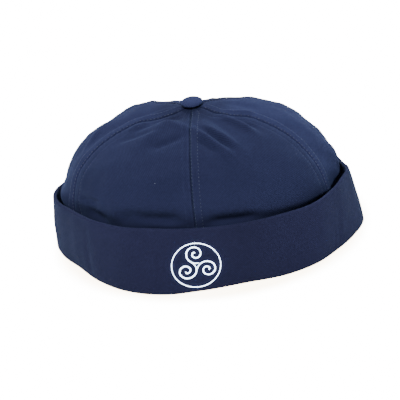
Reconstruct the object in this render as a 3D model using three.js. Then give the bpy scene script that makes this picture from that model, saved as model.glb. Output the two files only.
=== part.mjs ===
// Docker cap of woven cotton twill: six crown panels, a covered button, a deep turned-up cuff
// and an embroidered triskele in a ring on the front of the cuff.
//
// Millimetres, +Z up. The front of the cap faces -Y, and azimuths are degrees from the front
// towards +X. The cap rests on the fold of its cuff at z = 0.

import * as THREE from 'three';

// Cloth thicknesses, and the clearance between neighbouring pieces
const PANEL_CLOTH = 1.3;
const SEAM_CLOTH = 2.1;
const CUFF_CLOTH = 2.6;
const FACING_CLOTH = 1.5;
const FACING_GAP = 0.7;
const GAP = 0.3;

// The crown: its peak, where the panels' lower edge sits inside the cuff, and its widest height
const APEX_HEIGHT = 97.8;
const APEX_OFFSET = { x: -0.6, y: -1.8 };
const EDGE_HEIGHT = 5;
const BELLY_HEIGHT = 35;
const EDGE_CLEARANCE = 0.9;
const EDGE_FLARE = 1.6;
const SWELL_ANGLE = 0.6;
const NORMAL_TURN = 0.05;
const NORMAL_STEP = 0.0005;

// A share of 0 is a panel's lower edge, BELLY_SHARE its widest height and 1 the peak
const BELLY_SHARE = 0.22;
const TIP_SHARE = 0.983;

// Seams: the band from the groove to each row of topstitching, its rise, and the groove's depth
const SEAM_BAND = 5.6;
const BAND_RISE = 0.3;
const GROOVE_DEPTH = 0.5;
const BAND_LIMIT = 0.22;
const PANEL_PUFF = 1.4;
const PUFF_LEVEL = 0.45;
const PUFF_ROUNDNESS = 0.8;

// Shares between which seams bend and gather, and between which bands and puffs come and go
const SEAM_BEND = [0.2, 0.7];
const SEAM_GATHER = [0.75, 1];
const BAND_START = [0.2, 0.3];
const PUFF_START = [0.2, 0.4];
const PUFF_END = [0.75, 1];

// The dimple that the button pulls into the peak
const DIMPLE_DEPTH = 1.7;
const DIMPLE_RADIUS = 13;

// The cuff: a folded band with a flat foot, a rounded rim, and a facing inside the crown's edge
const CUFF_STEPS = 84;
const CUFF_BULGE = 0.8;
const WALL_LEVELS = [0.35, 0.68];
const FOOT_ROUND = 2.2;
const FOOT_INSET = 2.0;
const FOOT_WIDTH = 3.8;
const RIM_ROUND = 1.3;
const CHANNEL_FLOOR = 2.6;
const CHANNEL_WIDTH = 2.8;
const FACING_TOP = 17.4;
const FACING_WAIST = 10;
const FACING_CREST = 0.5;
const FACING_FOOT = 0.6;

// A rounded edge passes through a point at these shares of its radius from its two sides
const ROUND_IN = 0.3;
const ROUND_UP = 0.28;

// The button: a cloth-covered dome on a post that is held by a plate inside the crown
const BUTTON_RADIUS = 8.6;
const BUTTON_HEIGHT = 5.4;
const POST_RADIUS = 1.6;
const PLATE_RADIUS = 6.5;
const PLATE_THICKNESS = 0.9;
const PEAK_SHARE = 0.9;
const PEAK_STEPS = 30;
const PEAK_TURN = 10;
const BUTTON_SIDES = 24;

// The button's dome, as shares of its radius and its height
const DOME_COLUMNS = ['radius', 'height'];
const DOME_ROWS = [
  [0.9, 0],
  [1, 0.18],
  [0.95, 0.46],
  [0.76, 0.78],
  [0.42, 0.96],
  [0, 1],
];

// The embroidery: satin stitch that stands on the cuff's outer face
const EMBLEM_AZIMUTH = -0.9;
const EMBLEM_HEIGHT = 20.6;
const RING_RADIUS = 16.5;
const RING_STROKE = 1.8;
const RING_STEPS = 48;
const THREAD_RISE = 0.8;
const THREAD_CROWN = 0.62;
const SPIRAL_STROKE = 1.9;
const SPIRAL_START = 0.9;
const SPIRAL_GROWTH = 6.1 / 560;
const SPIRAL_SWEEP = 545;
const SPIRAL_STEPS = 44;
const TAIL_TAPER = 0.42;
const TAIL_START = 0.84;
const HEART_TAPER = 0.2;
const HEART_END = 0.1;
const EMBLEM_STEP = 0.1;

// Plan of the cap by azimuth: radius of the cuff's foot and rim, height of the rim, radius of the
// crown at its widest, how far the crown swells above that, and how full its arch is
const PLAN_COLUMNS = ['azimuth', 'foot', 'rim', 'height', 'crown', 'swell', 'fullness'];
const PLAN_ROWS = [
  [0, 88.9, 86.4, 47.3, 80.6, 0.0, 2.14],
  [20, 87.8, 88.0, 46.4, 82.2, 0.0, 2.12],
  [38, 95.4, 93.9, 46.2, 88.1, 0.0, 2.08],
  [52, 100.7, 100.5, 46.0, 94.5, 0.0, 2.04],
  [62, 102.8, 102.1, 46.0, 96.3, 0.0, 2.02],
  [74, 106.8, 101.1, 45.6, 95.9, 0.0, 2.0],
  [85, 110.0, 101.8, 44.5, 97.4, 0.8, 2.0],
  [92, 104.9, 97.5, 43.5, 93.2, 3.6, 2.0],
  [104, 98.6, 93.5, 42.6, 88.7, 6.2, 1.96],
  [128, 92.2, 88.4, 41.8, 83.2, 6.0, 1.74],
  [155, 87.5, 84.2, 41.3, 79.0, 3.4, 1.54],
  [180, 85.6, 82.5, 41.3, 77.3, 1.4, 1.52],
  [205, 86.9, 83.7, 41.6, 78.5, 2.0, 1.54],
  [232, 91.6, 88.4, 42.2, 83.2, 3.4, 1.74],
  [254, 98.2, 93.9, 43.0, 88.9, 4.8, 2.04],
  [267, 104.3, 98.6, 43.9, 93.4, 2.6, 2.32],
  [275, 108.8, 104.5, 44.5, 96.6, 0.6, 2.38],
  [284, 107.1, 106.3, 45.4, 97.2, 0.0, 2.34],
  [297, 100.3, 99.9, 46.4, 93.1, 0.0, 2.3],
  [312, 98.8, 95.8, 47.1, 89.4, 0.0, 2.24],
  [328, 97.7, 92.2, 47.8, 86.0, 0.0, 2.18],
  [345, 94.1, 87.6, 47.9, 81.8, 0.0, 2.14],
];

// The six seams, by azimuth at the cuff, at mid height and at the button
const SEAM_COLUMNS = ['low', 'middle', 'top'];
const SEAM_ROWS = [
  [0, 0, -1],
  [66, 72.5, 58],
  [124, 123, 120],
  [180, 180, 180],
  [236, 237, 240],
  [292.5, 288.5, 302],
];

// Folds and dents of the crown: a line from one azimuth and share to another, its half width,
// and its height, which is below 0 for a valley. A fold dies away past its ends and its reach
const FOLD_END = 1.05;
const FOLD_REACH = 3;
const FOLD_COLUMNS = ['fromAzimuth', 'fromShare', 'toAzimuth', 'toShare', 'width', 'height'];
const FOLD_ROWS = [
  [3, 0.81, 28, 0.62, 3.6, 1.4],
  [18, 0.83, 35, 0.65, 3.4, 1.3],
  [53, 0.86, 54, 0.71, 3.4, 1.2],
  [11, 0.745, 20, 0.66, 3.8, -1.1],
  [15, 0.8, 29, 0.67, 3.0, -1.1],
  [45, 0.83, 44, 0.71, 4.2, -1.0],
  [61, 0.78, 59, 0.67, 3.6, -0.8],
  [-53, 0.88, -65, 0.8, 4.2, -1.1],
  [-44, 0.81, -62, 0.68, 3.6, -1.3],
  [-6, 0.81, -38, 0.84, 5.0, 1.2],
  [-38, 0.84, -44, 0.68, 6.4, 1.3],
  [-9, 0.765, -32, 0.695, 3.6, -1.2],
  [-128, 0.86, -117, 0.6, 14, 3.6],
  [-102, 0.72, -97, 0.52, 9, -1.2],
  [140, 0.8, 112, 0.62, 11, 1.6],
  [118, 0.58, 100, 0.5, 9, -1.4],
  [222, 0.86, 150, 0.84, 13, -2.6],
];

// Panels: name, the number of its first seam, columns across, and runs of rows from share to share
const FINE_ROWS = [[0, 0.22, 3], [0.22, 0.58, 6], [0.58, 0.9, 12], [0.9, TIP_SHARE, 3]];
const PLAIN_ROWS = [[0, 0.22, 2], [0.22, 0.6, 5], [0.6, 0.9, 6], [0.9, TIP_SHARE, 3]];
const PANELS = [
  { name: 'crown_panel_front_right', seam: 0, columns: 12, rows: FINE_ROWS },
  { name: 'crown_panel_side_right', seam: 1, columns: 11, rows: PLAIN_ROWS },
  { name: 'crown_panel_back_right', seam: 2, columns: 7, rows: PLAIN_ROWS },
  { name: 'crown_panel_back_left', seam: 3, columns: 7, rows: PLAIN_ROWS },
  { name: 'crown_panel_side_left', seam: 4, columns: 11, rows: PLAIN_ROWS },
  { name: 'crown_panel_front_left', seam: 5, columns: 12, rows: FINE_ROWS },
];

// Spirals of the triskele: the angle and distance of each one's centre from the ring's centre
const SPIRALS = [
  { name: 'emblem_spiral_top', angle: 91, reach: 8.7 },
  { name: 'emblem_spiral_right', angle: -22, reach: 8.3 },
  { name: 'emblem_spiral_left', angle: 210, reach: 8.1 },
];

// Finishes: navy twill for the crown, the same cloth deeper in shade on the cuff, white thread
const CROWN_TWILL = new THREE.MeshStandardMaterial({ color: 0x2a3653, roughness: 0.9, metalness: 0 });
const CUFF_TWILL = new THREE.MeshStandardMaterial({ color: 0x27304c, roughness: 0.9, metalness: 0 });
const WHITE_THREAD = new THREE.MeshStandardMaterial({ color: 0xf2f4fa, roughness: 0.6, metalness: 0 });

const RAD = Math.PI / 180;

function tableRows(columns, rows) {
  return rows.map((row) => Object.fromEntries(columns.map((column, i) => [column, row[i]])));
}

const PLAN = tableRows(PLAN_COLUMNS, PLAN_ROWS);
const SEAMS = tableRows(SEAM_COLUMNS, SEAM_ROWS);

const DOME = tableRows(DOME_COLUMNS, DOME_ROWS);

function smoothStep(x, [from, to]) {
  const t = THREE.MathUtils.clamp((x - from) / (to - from), 0, 1);
  return t * t * (3 - 2 * t);
}

// A column of the plan at any azimuth, as a smooth closed curve through the table's rows
function planAt(column, azimuth) {
  const turn = ((azimuth % 360) + 360) % 360;
  let row = PLAN.length - 1;
  while (PLAN[row].azimuth > turn) row -= 1;
  const count = PLAN.length;
  const value = (i) => PLAN[(i + count) % count][column];
  const place = (i) => PLAN[(i + count) % count].azimuth + 360 * Math.floor(i / count);
  const span = place(row + 1) - place(row);
  const f = (turn - place(row)) / span;
  const slopeIn = ((value(row + 1) - value(row - 1)) / (place(row + 1) - place(row - 1))) * span;
  const slopeOut = ((value(row + 2) - value(row)) / (place(row + 2) - place(row))) * span;
  const f2 = f * f;
  const f3 = f2 * f;
  return (2 * f3 - 3 * f2 + 1) * value(row) + (f3 - 2 * f2 + f) * slopeIn
    + (3 * f2 - 2 * f3) * value(row + 1) + (f3 - f2) * slopeOut;
}

function polar(radius, azimuth, z) {
  return new THREE.Vector3(radius * Math.sin(azimuth * RAD), -radius * Math.cos(azimuth * RAD), z);
}

// The azimuth of a seam at a share of the panels' height
function seamAt(number, share) {
  const seam = SEAMS[number % SEAMS.length];
  return seam.low + (seam.middle - seam.low) * smoothStep(share, SEAM_BEND)
    + (seam.top - seam.middle) * smoothStep(share, SEAM_GATHER);
}

// The crown without its folds: a flared skirt inside the cuff, then a superelliptic arch
function crownForm(azimuth, share) {
  const belly = planAt('crown', azimuth);
  if (share < BELLY_SHARE) {
    const drop = (BELLY_SHARE - share) / BELLY_SHARE;
    const edge = planAt('foot', azimuth) - CUFF_CLOTH - EDGE_CLEARANCE;
    const radius = belly + (edge - belly) * drop ** EDGE_FLARE;
    return polar(radius, azimuth, BELLY_HEIGHT - (BELLY_HEIGHT - EDGE_HEIGHT) * drop);
  }
  const fullness = planAt('fullness', azimuth);
  const angle = Math.min((share - BELLY_SHARE) / (1 - BELLY_SHARE), 0.9999) * Math.PI / 2;
  const wide = belly + planAt('swell', azimuth) * smoothStep(angle, [0, SWELL_ANGLE]);
  const arch = (Math.cos(angle) ** fullness + Math.sin(angle) ** fullness) ** (-1 / fullness);
  const rise = (APEX_HEIGHT - BELLY_HEIGHT) * arch * Math.sin(angle);
  const point = polar(wide * arch * Math.cos(angle), azimuth, BELLY_HEIGHT + rise);
  const shift = Math.sin(angle) ** 2;
  return point.add(new THREE.Vector3(APEX_OFFSET.x * shift, APEX_OFFSET.y * shift, 0));
}

function crownNormal(azimuth, share) {
  const [left, right] = [azimuth - NORMAL_TURN, azimuth + NORMAL_TURN];
  const [low, high] = [Math.max(share - NORMAL_STEP, 0), Math.min(share + NORMAL_STEP, 1)];
  const across = crownForm(right, share).sub(crownForm(left, share));
  const along = crownForm(azimuth, high).sub(crownForm(azimuth, low));
  return across.cross(along).normalize();
}

const FOLDS = tableRows(FOLD_COLUMNS, FOLD_ROWS).map((fold) => {
  const start = crownForm(fold.fromAzimuth, fold.fromShare);
  const end = crownForm(fold.toAzimuth, fold.toShare);
  const length = start.distanceTo(end);
  const middle = start.clone().add(end).multiplyScalar(0.5);
  const direction = end.sub(start).divideScalar(length);
  return { ...fold, start, direction, length, middle };
});

// How far the folds and dents raise the crown at a point of its plain form
function foldLift(point, normal) {
  let lift = 0;
  for (const fold of FOLDS) {
    if (point.distanceTo(fold.middle) > fold.length + FOLD_REACH * fold.width) continue;
    const offset = point.clone().sub(fold.start);
    const side = fold.direction.clone().cross(normal).normalize();
    const lateral = offset.dot(side) / fold.width;
    const along = 2 * offset.dot(fold.direction) / fold.length - 1;
    lift += fold.height * Math.exp(-(lateral ** 2)) * Math.exp(-((along / FOLD_END) ** 4));
  }
  return lift;
}

// The crown's outer face, or a face at a depth below it. The panel share is 0 or 1 at a seam, and
// the band lift is the height of the seam's stitched band there
function crownFace(azimuth, share, panelShare, bandLift, depth) {
  const point = crownForm(azimuth, share);
  const normal = crownNormal(azimuth, share);
  const spread = Math.hypot(point.x - APEX_OFFSET.x, point.y - APEX_OFFSET.y) / DIMPLE_RADIUS;
  const dimple = DIMPLE_DEPTH * Math.exp(-(spread ** 2));
  const tension = smoothStep(share, PUFF_START) * (1 - smoothStep(share, PUFF_END));
  const roundness = Math.sin(Math.PI * panelShare) ** PUFF_ROUNDNESS;
  const puff = PANEL_PUFF * (roundness - PUFF_LEVEL) * tension;
  const band = bandLift * smoothStep(share, BAND_START);
  const lift = foldLift(point, normal) + puff + band - dimple - depth;
  return point.addScaledVector(normal, lift);
}

function geometryOf(points, triangles) {
  const geometry = new THREE.BufferGeometry();
  const positions = points.flatMap((point) => [point.x, point.y, point.z]);
  geometry.setAttribute('position', new THREE.Float32BufferAttribute(positions, 3));
  geometry.setIndex(triangles);
  geometry.computeVertexNormals();
  return geometry;
}

// A sheet of cloth as a closed solid, from grids of its outer and inner points. A grid's rows run
// upwards and its columns to the right, seen from outside
function clothSolid(outer, inner) {
  const rows = outer.length;
  const columns = outer[0].length;
  const points = [...outer.flat(), ...inner.flat()];
  const out = (row, column) => row * columns + column;
  const back = (row, column) => rows * columns + out(row, column);
  const triangles = [];
  const quad = (a, b, c, d) => triangles.push(a, b, c, a, c, d);
  for (let row = 0; row < rows - 1; row += 1) {
    for (let column = 0; column < columns - 1; column += 1) {
      const [right, up] = [column + 1, row + 1];
      quad(out(row, column), out(row, right), out(up, right), out(up, column));
      quad(back(row, column), back(up, column), back(up, right), back(row, right));
    }
  }
  const last = columns - 1;
  for (let row = 0; row < rows - 1; row += 1) {
    quad(out(row + 1, last), out(row, last), back(row, last), back(row + 1, last));
    quad(out(row, 0), out(row + 1, 0), back(row + 1, 0), back(row, 0));
  }
  const top = rows - 1;
  for (let column = 0; column < last; column += 1) {
    quad(out(0, column + 1), out(0, column), back(0, column), back(0, column + 1));
    quad(out(top, column), out(top, column + 1), back(top, column + 1), back(top, column));
  }
  return geometryOf(points, triangles);
}

// A band of sections joined side by side, closed round or capped at its two ends. Each section
// is a loop of points that turns anticlockwise, seen with the band running to the right
function sectionSolid(sections, closed) {
  const count = sections[0].length;
  const points = sections.flat();
  const triangles = [];
  const spans = closed ? sections.length : sections.length - 1;
  for (let i = 0; i < spans; i += 1) {
    const next = (i + 1) % sections.length;
    for (let j = 0; j < count; j += 1) {
      const up = (j + 1) % count;
      const [a, b] = [i * count + j, next * count + j];
      const [c, d] = [next * count + up, i * count + up];
      triangles.push(a, b, c, a, c, d);
    }
  }
  if (!closed) {
    const end = (sections.length - 1) * count;
    for (let j = 1; j < count - 1; j += 1) {
      triangles.push(0, j, j + 1);
      triangles.push(end, end + j + 1, end + j);
    }
  }
  return geometryOf(points, triangles);
}

function piece(name, geometry, material) {
  const mesh = new THREE.Mesh(geometry, material);
  mesh.name = name;
  return mesh;
}

// One crown panel between two seams, thicker along the seams where the allowances are felled
function crownPanel({ name, seam, columns, rows }) {
  const shares = [0];
  for (const [from, to, steps] of rows) {
    for (let i = 1; i <= steps; i += 1) shares.push(from + (to - from) * i / steps);
  }
  const outer = [];
  const inner = [];
  for (const share of shares) {
    const left = seamAt(seam, share);
    const right = seamAt(seam + 1, share) + (seam + 1 === SEAMS.length ? 360 : 0);
    const middle = crownForm((left + right) / 2, share);
    const radius = Math.hypot(middle.x - APEX_OFFSET.x, middle.y - APEX_OFFSET.y);
    const edge = GAP / 2 / radius / RAD;
    const band = Math.min(SEAM_BAND / radius / RAD / (right - left), BAND_LIMIT);
    const outerRow = [];
    const innerRow = [];
    for (let i = -1; i <= columns + 1; i += 1) {
      const atSeam = i < 0 || i > columns;
      const onBand = i <= 0 || i >= columns;
      const inside = band + (1 - 2 * band) * i / columns;
      const across = atSeam ? Number(i > 0) : inside;
      const azimuth = left + edge + (right - left - 2 * edge) * across;
      const bandLift = atSeam ? -GROOVE_DEPTH : (onBand ? BAND_RISE : 0);
      const felled = onBand ? smoothStep(share, BAND_START) : 0;
      const depth = PANEL_CLOTH + (SEAM_CLOTH - PANEL_CLOTH) * felled;
      outerRow.push(crownFace(azimuth, share, across, bandLift, 0));
      innerRow.push(crownFace(azimuth, share, across, bandLift, depth));
    }
    outer.push(outerRow);
    inner.push(innerRow);
  }
  return piece(name, clothSolid(outer, inner), CROWN_TWILL);
}

// Radius of the cuff's outer face at a height between its rounded foot and rim
function cuffRadius(azimuth, z) {
  const low = FOOT_ROUND;
  const high = planAt('height', azimuth) - RIM_ROUND;
  const s = THREE.MathUtils.clamp((z - low) / (high - low), 0, 1);
  const foot = planAt('foot', azimuth);
  return foot + (planAt('rim', azimuth) - foot) * s + CUFF_BULGE * 4 * s * (1 - s);
}

// A point of the facing, at a depth below the crown's outer face and at a height
function facingPoint(azimuth, z, depth) {
  const share = BELLY_SHARE * (z - EDGE_HEIGHT) / (BELLY_HEIGHT - EDGE_HEIGHT);
  return crownForm(azimuth, share).addScaledVector(crownNormal(azimuth, share), -depth);
}

// The cuff's section: foot, outer wall, rim, inner side of the wall, channel for the crown's
// edge, and the facing that closes the channel inside the cap
function cuffSection(azimuth) {
  const foot = planAt('foot', azimuth);
  const height = planAt('height', azimuth);
  const rim = planAt('rim', azimuth);
  const at = (radius, z) => polar(radius, azimuth, z);
  const wall = (z, inset) => at(cuffRadius(azimuth, z) - inset, z);
  const shoulder = height - RIM_ROUND;
  const crest = height - RIM_ROUND * ROUND_UP;
  const [lower, upper] = WALL_LEVELS.map((level) => height * level);
  const facingOuter = PANEL_CLOTH + FACING_GAP;
  const facingInner = facingOuter + FACING_CLOTH;
  const channelInner = foot - CUFF_CLOTH - CHANNEL_WIDTH;
  return [
    at(foot - FOOT_INSET - FOOT_WIDTH, 0),
    at(foot - FOOT_INSET, 0),
    at(foot - FOOT_ROUND * ROUND_IN, FOOT_ROUND * ROUND_UP),
    at(foot, FOOT_ROUND),
    wall(lower, 0),
    wall(upper, 0),
    at(rim, shoulder),
    at(rim - RIM_ROUND * ROUND_IN, crest),
    at(rim - RIM_ROUND, height),
    at(rim - CUFF_CLOTH + RIM_ROUND * ROUND_IN, crest),
    at(rim - CUFF_CLOTH, shoulder),
    wall(upper, CUFF_CLOTH),
    wall(lower, CUFF_CLOTH),
    at(foot - CUFF_CLOTH, CHANNEL_FLOOR),
    at(channelInner, CHANNEL_FLOOR),
    facingPoint(azimuth, FACING_WAIST, facingOuter),
    facingPoint(azimuth, FACING_TOP, facingOuter),
    facingPoint(azimuth, FACING_TOP + FACING_CREST, (facingOuter + facingInner) / 2),
    facingPoint(azimuth, FACING_TOP, facingInner),
    facingPoint(azimuth, FACING_WAIST, facingInner),
    at(channelInner - FACING_CLOTH, CHANNEL_FLOOR * FACING_FOOT),
  ];
}

function cuff() {
  const sections = [];
  for (let i = 0; i < CUFF_STEPS; i += 1) sections.push(cuffSection(360 * i / CUFF_STEPS));
  return piece('cuff', sectionSolid(sections, true), CUFF_TWILL);
}

// Heights of the crown near the peak, out to a radius, at a depth below its outer face
function peakHeights(radius, bandLift, depth) {
  const heights = [];
  for (let azimuth = 0; azimuth < 360; azimuth += PEAK_TURN) {
    for (let step = 0; step <= PEAK_STEPS; step += 1) {
      const share = PEAK_SHARE + (TIP_SHARE - PEAK_SHARE) * step / PEAK_STEPS;
      const point = crownFace(azimuth, share, 0.5, bandLift, depth);
      const spread = Math.hypot(point.x - APEX_OFFSET.x, point.y - APEX_OFFSET.y);
      if (spread <= radius) heights.push(point.z);
    }
  }
  return heights;
}

// The button, post and plate as one turned solid on the peak's axis
function button() {
  const seat = Math.max(...peakHeights(BUTTON_RADIUS, BAND_RISE, 0)) + GAP;
  const plateTop = Math.min(...peakHeights(PLATE_RADIUS, -GROOVE_DEPTH, SEAM_CLOTH)) - GAP;
  const plateLow = plateTop - PLATE_THICKNESS;
  const profile = [
    [0, plateLow],
    [PLATE_RADIUS, plateLow],
    [PLATE_RADIUS, plateTop],
    [POST_RADIUS, plateTop],
    [POST_RADIUS, seat],
    ...DOME.map((row) => [BUTTON_RADIUS * row.radius, seat + BUTTON_HEIGHT * row.height]),
  ].map(([radius, z]) => new THREE.Vector2(radius, z));
  const geometry = new THREE.LatheGeometry(profile, BUTTON_SIDES);
  geometry.rotateX(Math.PI / 2);
  geometry.translate(APEX_OFFSET.x, APEX_OFFSET.y, 0);
  return piece('button', geometry, CROWN_TWILL);
}

// A point of the embroidery, from its place on the emblem's flat drawing and its rise
function emblemPoint(x, y, rise) {
  const place = (px, py) => {
    const z = EMBLEM_HEIGHT + py;
    const radius = cuffRadius(EMBLEM_AZIMUTH, z);
    const azimuth = EMBLEM_AZIMUTH + px / radius / RAD;
    return polar(cuffRadius(azimuth, z), azimuth, z);
  };
  const across = place(x + EMBLEM_STEP, y).sub(place(x - EMBLEM_STEP, y));
  const up = place(x, y + EMBLEM_STEP).sub(place(x, y - EMBLEM_STEP));
  const normal = across.cross(up).normalize();
  return place(x, y).addScaledVector(normal, rise);
}

// The section of a stroke of stitches: wide at the cloth and narrower on top
function strokeSection({ x, y, direction, width }) {
  const [nx, ny] = [-Math.sin(direction), Math.cos(direction)];
  const top = width * THREAD_CROWN / 2;
  const corner = (reach, rise) => emblemPoint(x + nx * reach, y + ny * reach, rise);
  return [
    corner(-width / 2, GAP),
    corner(-top, GAP + THREAD_RISE),
    corner(top, GAP + THREAD_RISE),
    corner(width / 2, GAP),
  ];
}

function emblemRing() {
  const sections = [];
  for (let i = 0; i < RING_STEPS; i += 1) {
    const turn = 2 * Math.PI * i / RING_STEPS;
    const [x, y] = [RING_RADIUS * Math.cos(turn), RING_RADIUS * Math.sin(turn)];
    sections.push(strokeSection({ x, y, direction: turn + Math.PI / 2, width: RING_STROKE }));
  }
  return piece('emblem_ring', sectionSolid(sections, true), WHITE_THREAD);
}

// One arm of the triskele: an even spiral that opens anticlockwise and ends in a narrow tail
function emblemSpiral({ name, angle, reach }) {
  const centre = { x: reach * Math.cos(angle * RAD), y: reach * Math.sin(angle * RAD) };
  const sections = [];
  for (let i = 0; i <= SPIRAL_STEPS; i += 1) {
    const share = i / SPIRAL_STEPS;
    const sweep = SPIRAL_SWEEP * share;
    const radius = SPIRAL_START + SPIRAL_GROWTH * sweep;
    const turn = (angle + sweep) * RAD;
    const lean = Math.atan2(radius, SPIRAL_GROWTH / RAD);
    const tail = TAIL_TAPER * smoothStep(share, [TAIL_START, 1]);
    const heart = HEART_TAPER * (1 - smoothStep(share, [0, HEART_END]));
    sections.push(strokeSection({
      x: centre.x + radius * Math.cos(turn),
      y: centre.y + radius * Math.sin(turn),
      direction: turn + lean,
      width: SPIRAL_STROKE * (1 - tail - heart),
    }));
  }
  return piece(name, sectionSolid(sections, false), WHITE_THREAD);
}

const cap = new THREE.Group();
cap.add(cuff());
for (const panel of PANELS) cap.add(crownPanel(panel));
cap.add(button());
cap.add(emblemRing());
for (const spiral of SPIRALS) cap.add(emblemSpiral(spiral));

// The origin lies on the ground under the middle of the cap
const box = new THREE.Box3().setFromObject(cap);
cap.position.set(-(box.min.x + box.max.x) / 2, -(box.min.y + box.max.y) / 2, -box.min.z);

const group = new THREE.Group();
group.add(cap);

export default group;
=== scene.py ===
"""Docker cap of navy cotton twill with an embroidered triskele, dressed for its picture.

The cap's sizes are millimetres in its own frame: +Z up, the front towards -Y, and azimuths in
degrees from the front towards +X. A share of 0 is a crown panel's lower edge and 1 is the peak.
Placement turns such points into metres in the shared frame.
"""
import logging
import math
from dataclasses import dataclass
from enum import Enum
from typing import Callable, NamedTuple, Sequence

import bmesh
import bpy
import numpy as np
from mathutils import Matrix, Vector


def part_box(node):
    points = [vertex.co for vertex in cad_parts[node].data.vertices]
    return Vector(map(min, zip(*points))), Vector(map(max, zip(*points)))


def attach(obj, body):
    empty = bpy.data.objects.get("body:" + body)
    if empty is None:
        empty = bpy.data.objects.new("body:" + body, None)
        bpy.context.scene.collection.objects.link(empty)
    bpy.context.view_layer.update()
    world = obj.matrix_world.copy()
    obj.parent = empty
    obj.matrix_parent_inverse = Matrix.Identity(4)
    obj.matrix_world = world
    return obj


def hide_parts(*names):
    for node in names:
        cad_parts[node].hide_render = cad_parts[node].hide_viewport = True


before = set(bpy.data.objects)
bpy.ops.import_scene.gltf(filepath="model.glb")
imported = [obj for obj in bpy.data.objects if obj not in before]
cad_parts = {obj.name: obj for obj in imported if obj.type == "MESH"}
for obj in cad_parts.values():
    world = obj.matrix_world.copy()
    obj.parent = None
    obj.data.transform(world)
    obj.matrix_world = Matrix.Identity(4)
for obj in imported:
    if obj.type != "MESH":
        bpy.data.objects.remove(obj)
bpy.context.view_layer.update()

log = logging.getLogger("docker_cap")

MM = 0.001
RAD = math.pi / 180.0
BODY = "root"
UV_LAYER = "cloth"
CREASE_LAYER = "crease"
# Vertex values of painted light and shade: factors that brighten or darken the twill's colour
PAINTED_LIGHT_LAYER = "painted_light"

# Vertices closer than this, in metres, are one
MERGE = 1e-6

# Keeps a vector of no length from being divided by 0
TINY = 1e-12


class Seam(NamedTuple):
    """A seam: its azimuths, the shares its last bend lies between, and where it is pulled in."""

    cuff: float
    middle: float
    button: float
    bend_start: float
    bend_end: float
    pulled: float


class Fold(NamedTuple):
    """A fold of the crown, along a line from one place to another."""

    from_azimuth: float
    from_share: float
    to_azimuth: float
    to_share: float
    half_width: float
    height: float


class Crease(NamedTuple):
    """A soft crease of the cuff's wall, which leans as it rises."""

    azimuth: float
    lean: float
    low: float
    high: float
    half_width: float
    height: float


class Arm(NamedTuple):
    """An arm of the triskele: its centre, the angle of its heart and how far it turns."""

    name: str
    x: float
    y: float
    start: float
    sweep: float


# Plan of the cap by azimuth: radius of the cuff's foot and rim, height of the rim, radius of the
# crown at its widest, how far the crown swells above that, and how full its arch is
PLAN_COLUMNS = ("azimuth", "foot", "rim", "height", "crown", "swell", "fullness")
PLAN_ROWS = (
    (0, 88.9, 86.4, 47.3, 80.6, 0.0, 2.14),
    (20, 87.8, 88.0, 46.4, 82.2, 0.0, 2.12),
    (38, 95.4, 93.9, 46.2, 88.1, 0.0, 2.08),
    (52, 100.7, 100.5, 46.0, 94.5, 0.0, 2.04),
    (62, 102.8, 102.1, 46.0, 96.3, 0.0, 2.02),
    (74, 106.8, 101.1, 45.6, 95.9, 0.0, 2.0),
    (85, 110.0, 101.8, 44.5, 97.4, 0.8, 2.0),
    (92, 104.9, 97.5, 43.5, 93.2, 3.6, 2.0),
    (104, 98.6, 93.5, 42.6, 88.7, 6.2, 1.96),
    (128, 92.2, 88.4, 41.8, 83.2, 6.0, 1.74),
    (155, 87.5, 84.2, 41.3, 79.0, 3.4, 1.54),
    (180, 85.6, 82.5, 41.3, 77.3, 1.4, 1.52),
    (205, 86.9, 83.7, 41.6, 78.5, 2.0, 1.54),
    (232, 91.6, 88.4, 42.2, 83.2, 3.4, 1.74),
    (254, 98.2, 93.9, 43.0, 88.9, 4.8, 2.04),
    (267, 104.3, 98.6, 43.9, 93.4, 2.6, 2.32),
    (275, 108.8, 104.5, 44.5, 96.6, 0.6, 2.38),
    (284, 107.1, 106.3, 45.4, 97.2, 0.0, 2.34),
    (297, 100.3, 99.9, 46.4, 93.1, 0.0, 2.3),
    (312, 98.8, 95.8, 47.1, 89.4, 0.0, 2.24),
    (328, 97.7, 92.2, 47.8, 86.0, 0.0, 2.18),
    (345, 94.1, 87.6, 47.9, 81.8, 0.0, 2.14),
)

# The six seams, in the columns of Seam
SEAM_ROWS = (
    (0, 0, -1, 0.75, 1.0, 0.1),
    (66, 72.5, 54.5, 0.765, 0.885, 0.58),
    (124, 123, 120, 0.75, 1.0, 0.55),
    (180, 180, 180, 0.75, 1.0, 0.4),
    (236, 237, 240, 0.75, 1.0, 0.55),
    (292.5, 288.5, 310, 0.78, 0.955, 0.6),
)
SEAM_NAMES = ("front", "front_right", "back_right", "back", "back_left", "front_left")

# Whether each seam is felled onto the panel after it or onto the one before it
FELLED_AFTER = np.array((True, True, True, True, False, False))

# Folds of the crown, which the solids have too, in the columns of Fold
FOLD_ROWS = (
    (3, 0.81, 28, 0.62, 3.6, 1.4),
    (18, 0.83, 35, 0.65, 3.4, 1.3),
    (53, 0.86, 54, 0.71, 3.4, 1.2),
    (11, 0.745, 20, 0.66, 3.8, -1.1),
    (15, 0.8, 29, 0.67, 3.0, -1.1),
    (45, 0.83, 44, 0.71, 4.2, -1.0),
    (61, 0.78, 59, 0.67, 3.6, -0.8),
    (-53, 0.88, -65, 0.8, 4.2, -1.1),
    (-44, 0.81, -62, 0.68, 3.6, -1.3),
    (-6, 0.81, -38, 0.84, 5.0, 1.2),
    (-38, 0.84, -44, 0.68, 6.4, 1.3),
    (-9, 0.765, -32, 0.695, 3.6, -1.2),
    (-128, 0.86, -117, 0.6, 14, 3.6),
    (-102, 0.72, -97, 0.52, 9, -1.2),
    (140, 0.8, 112, 0.62, 11, 1.6),
    (118, 0.58, 100, 0.5, 9, -1.4),
    (222, 0.86, 150, 0.84, 13, -2.6),
)

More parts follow.
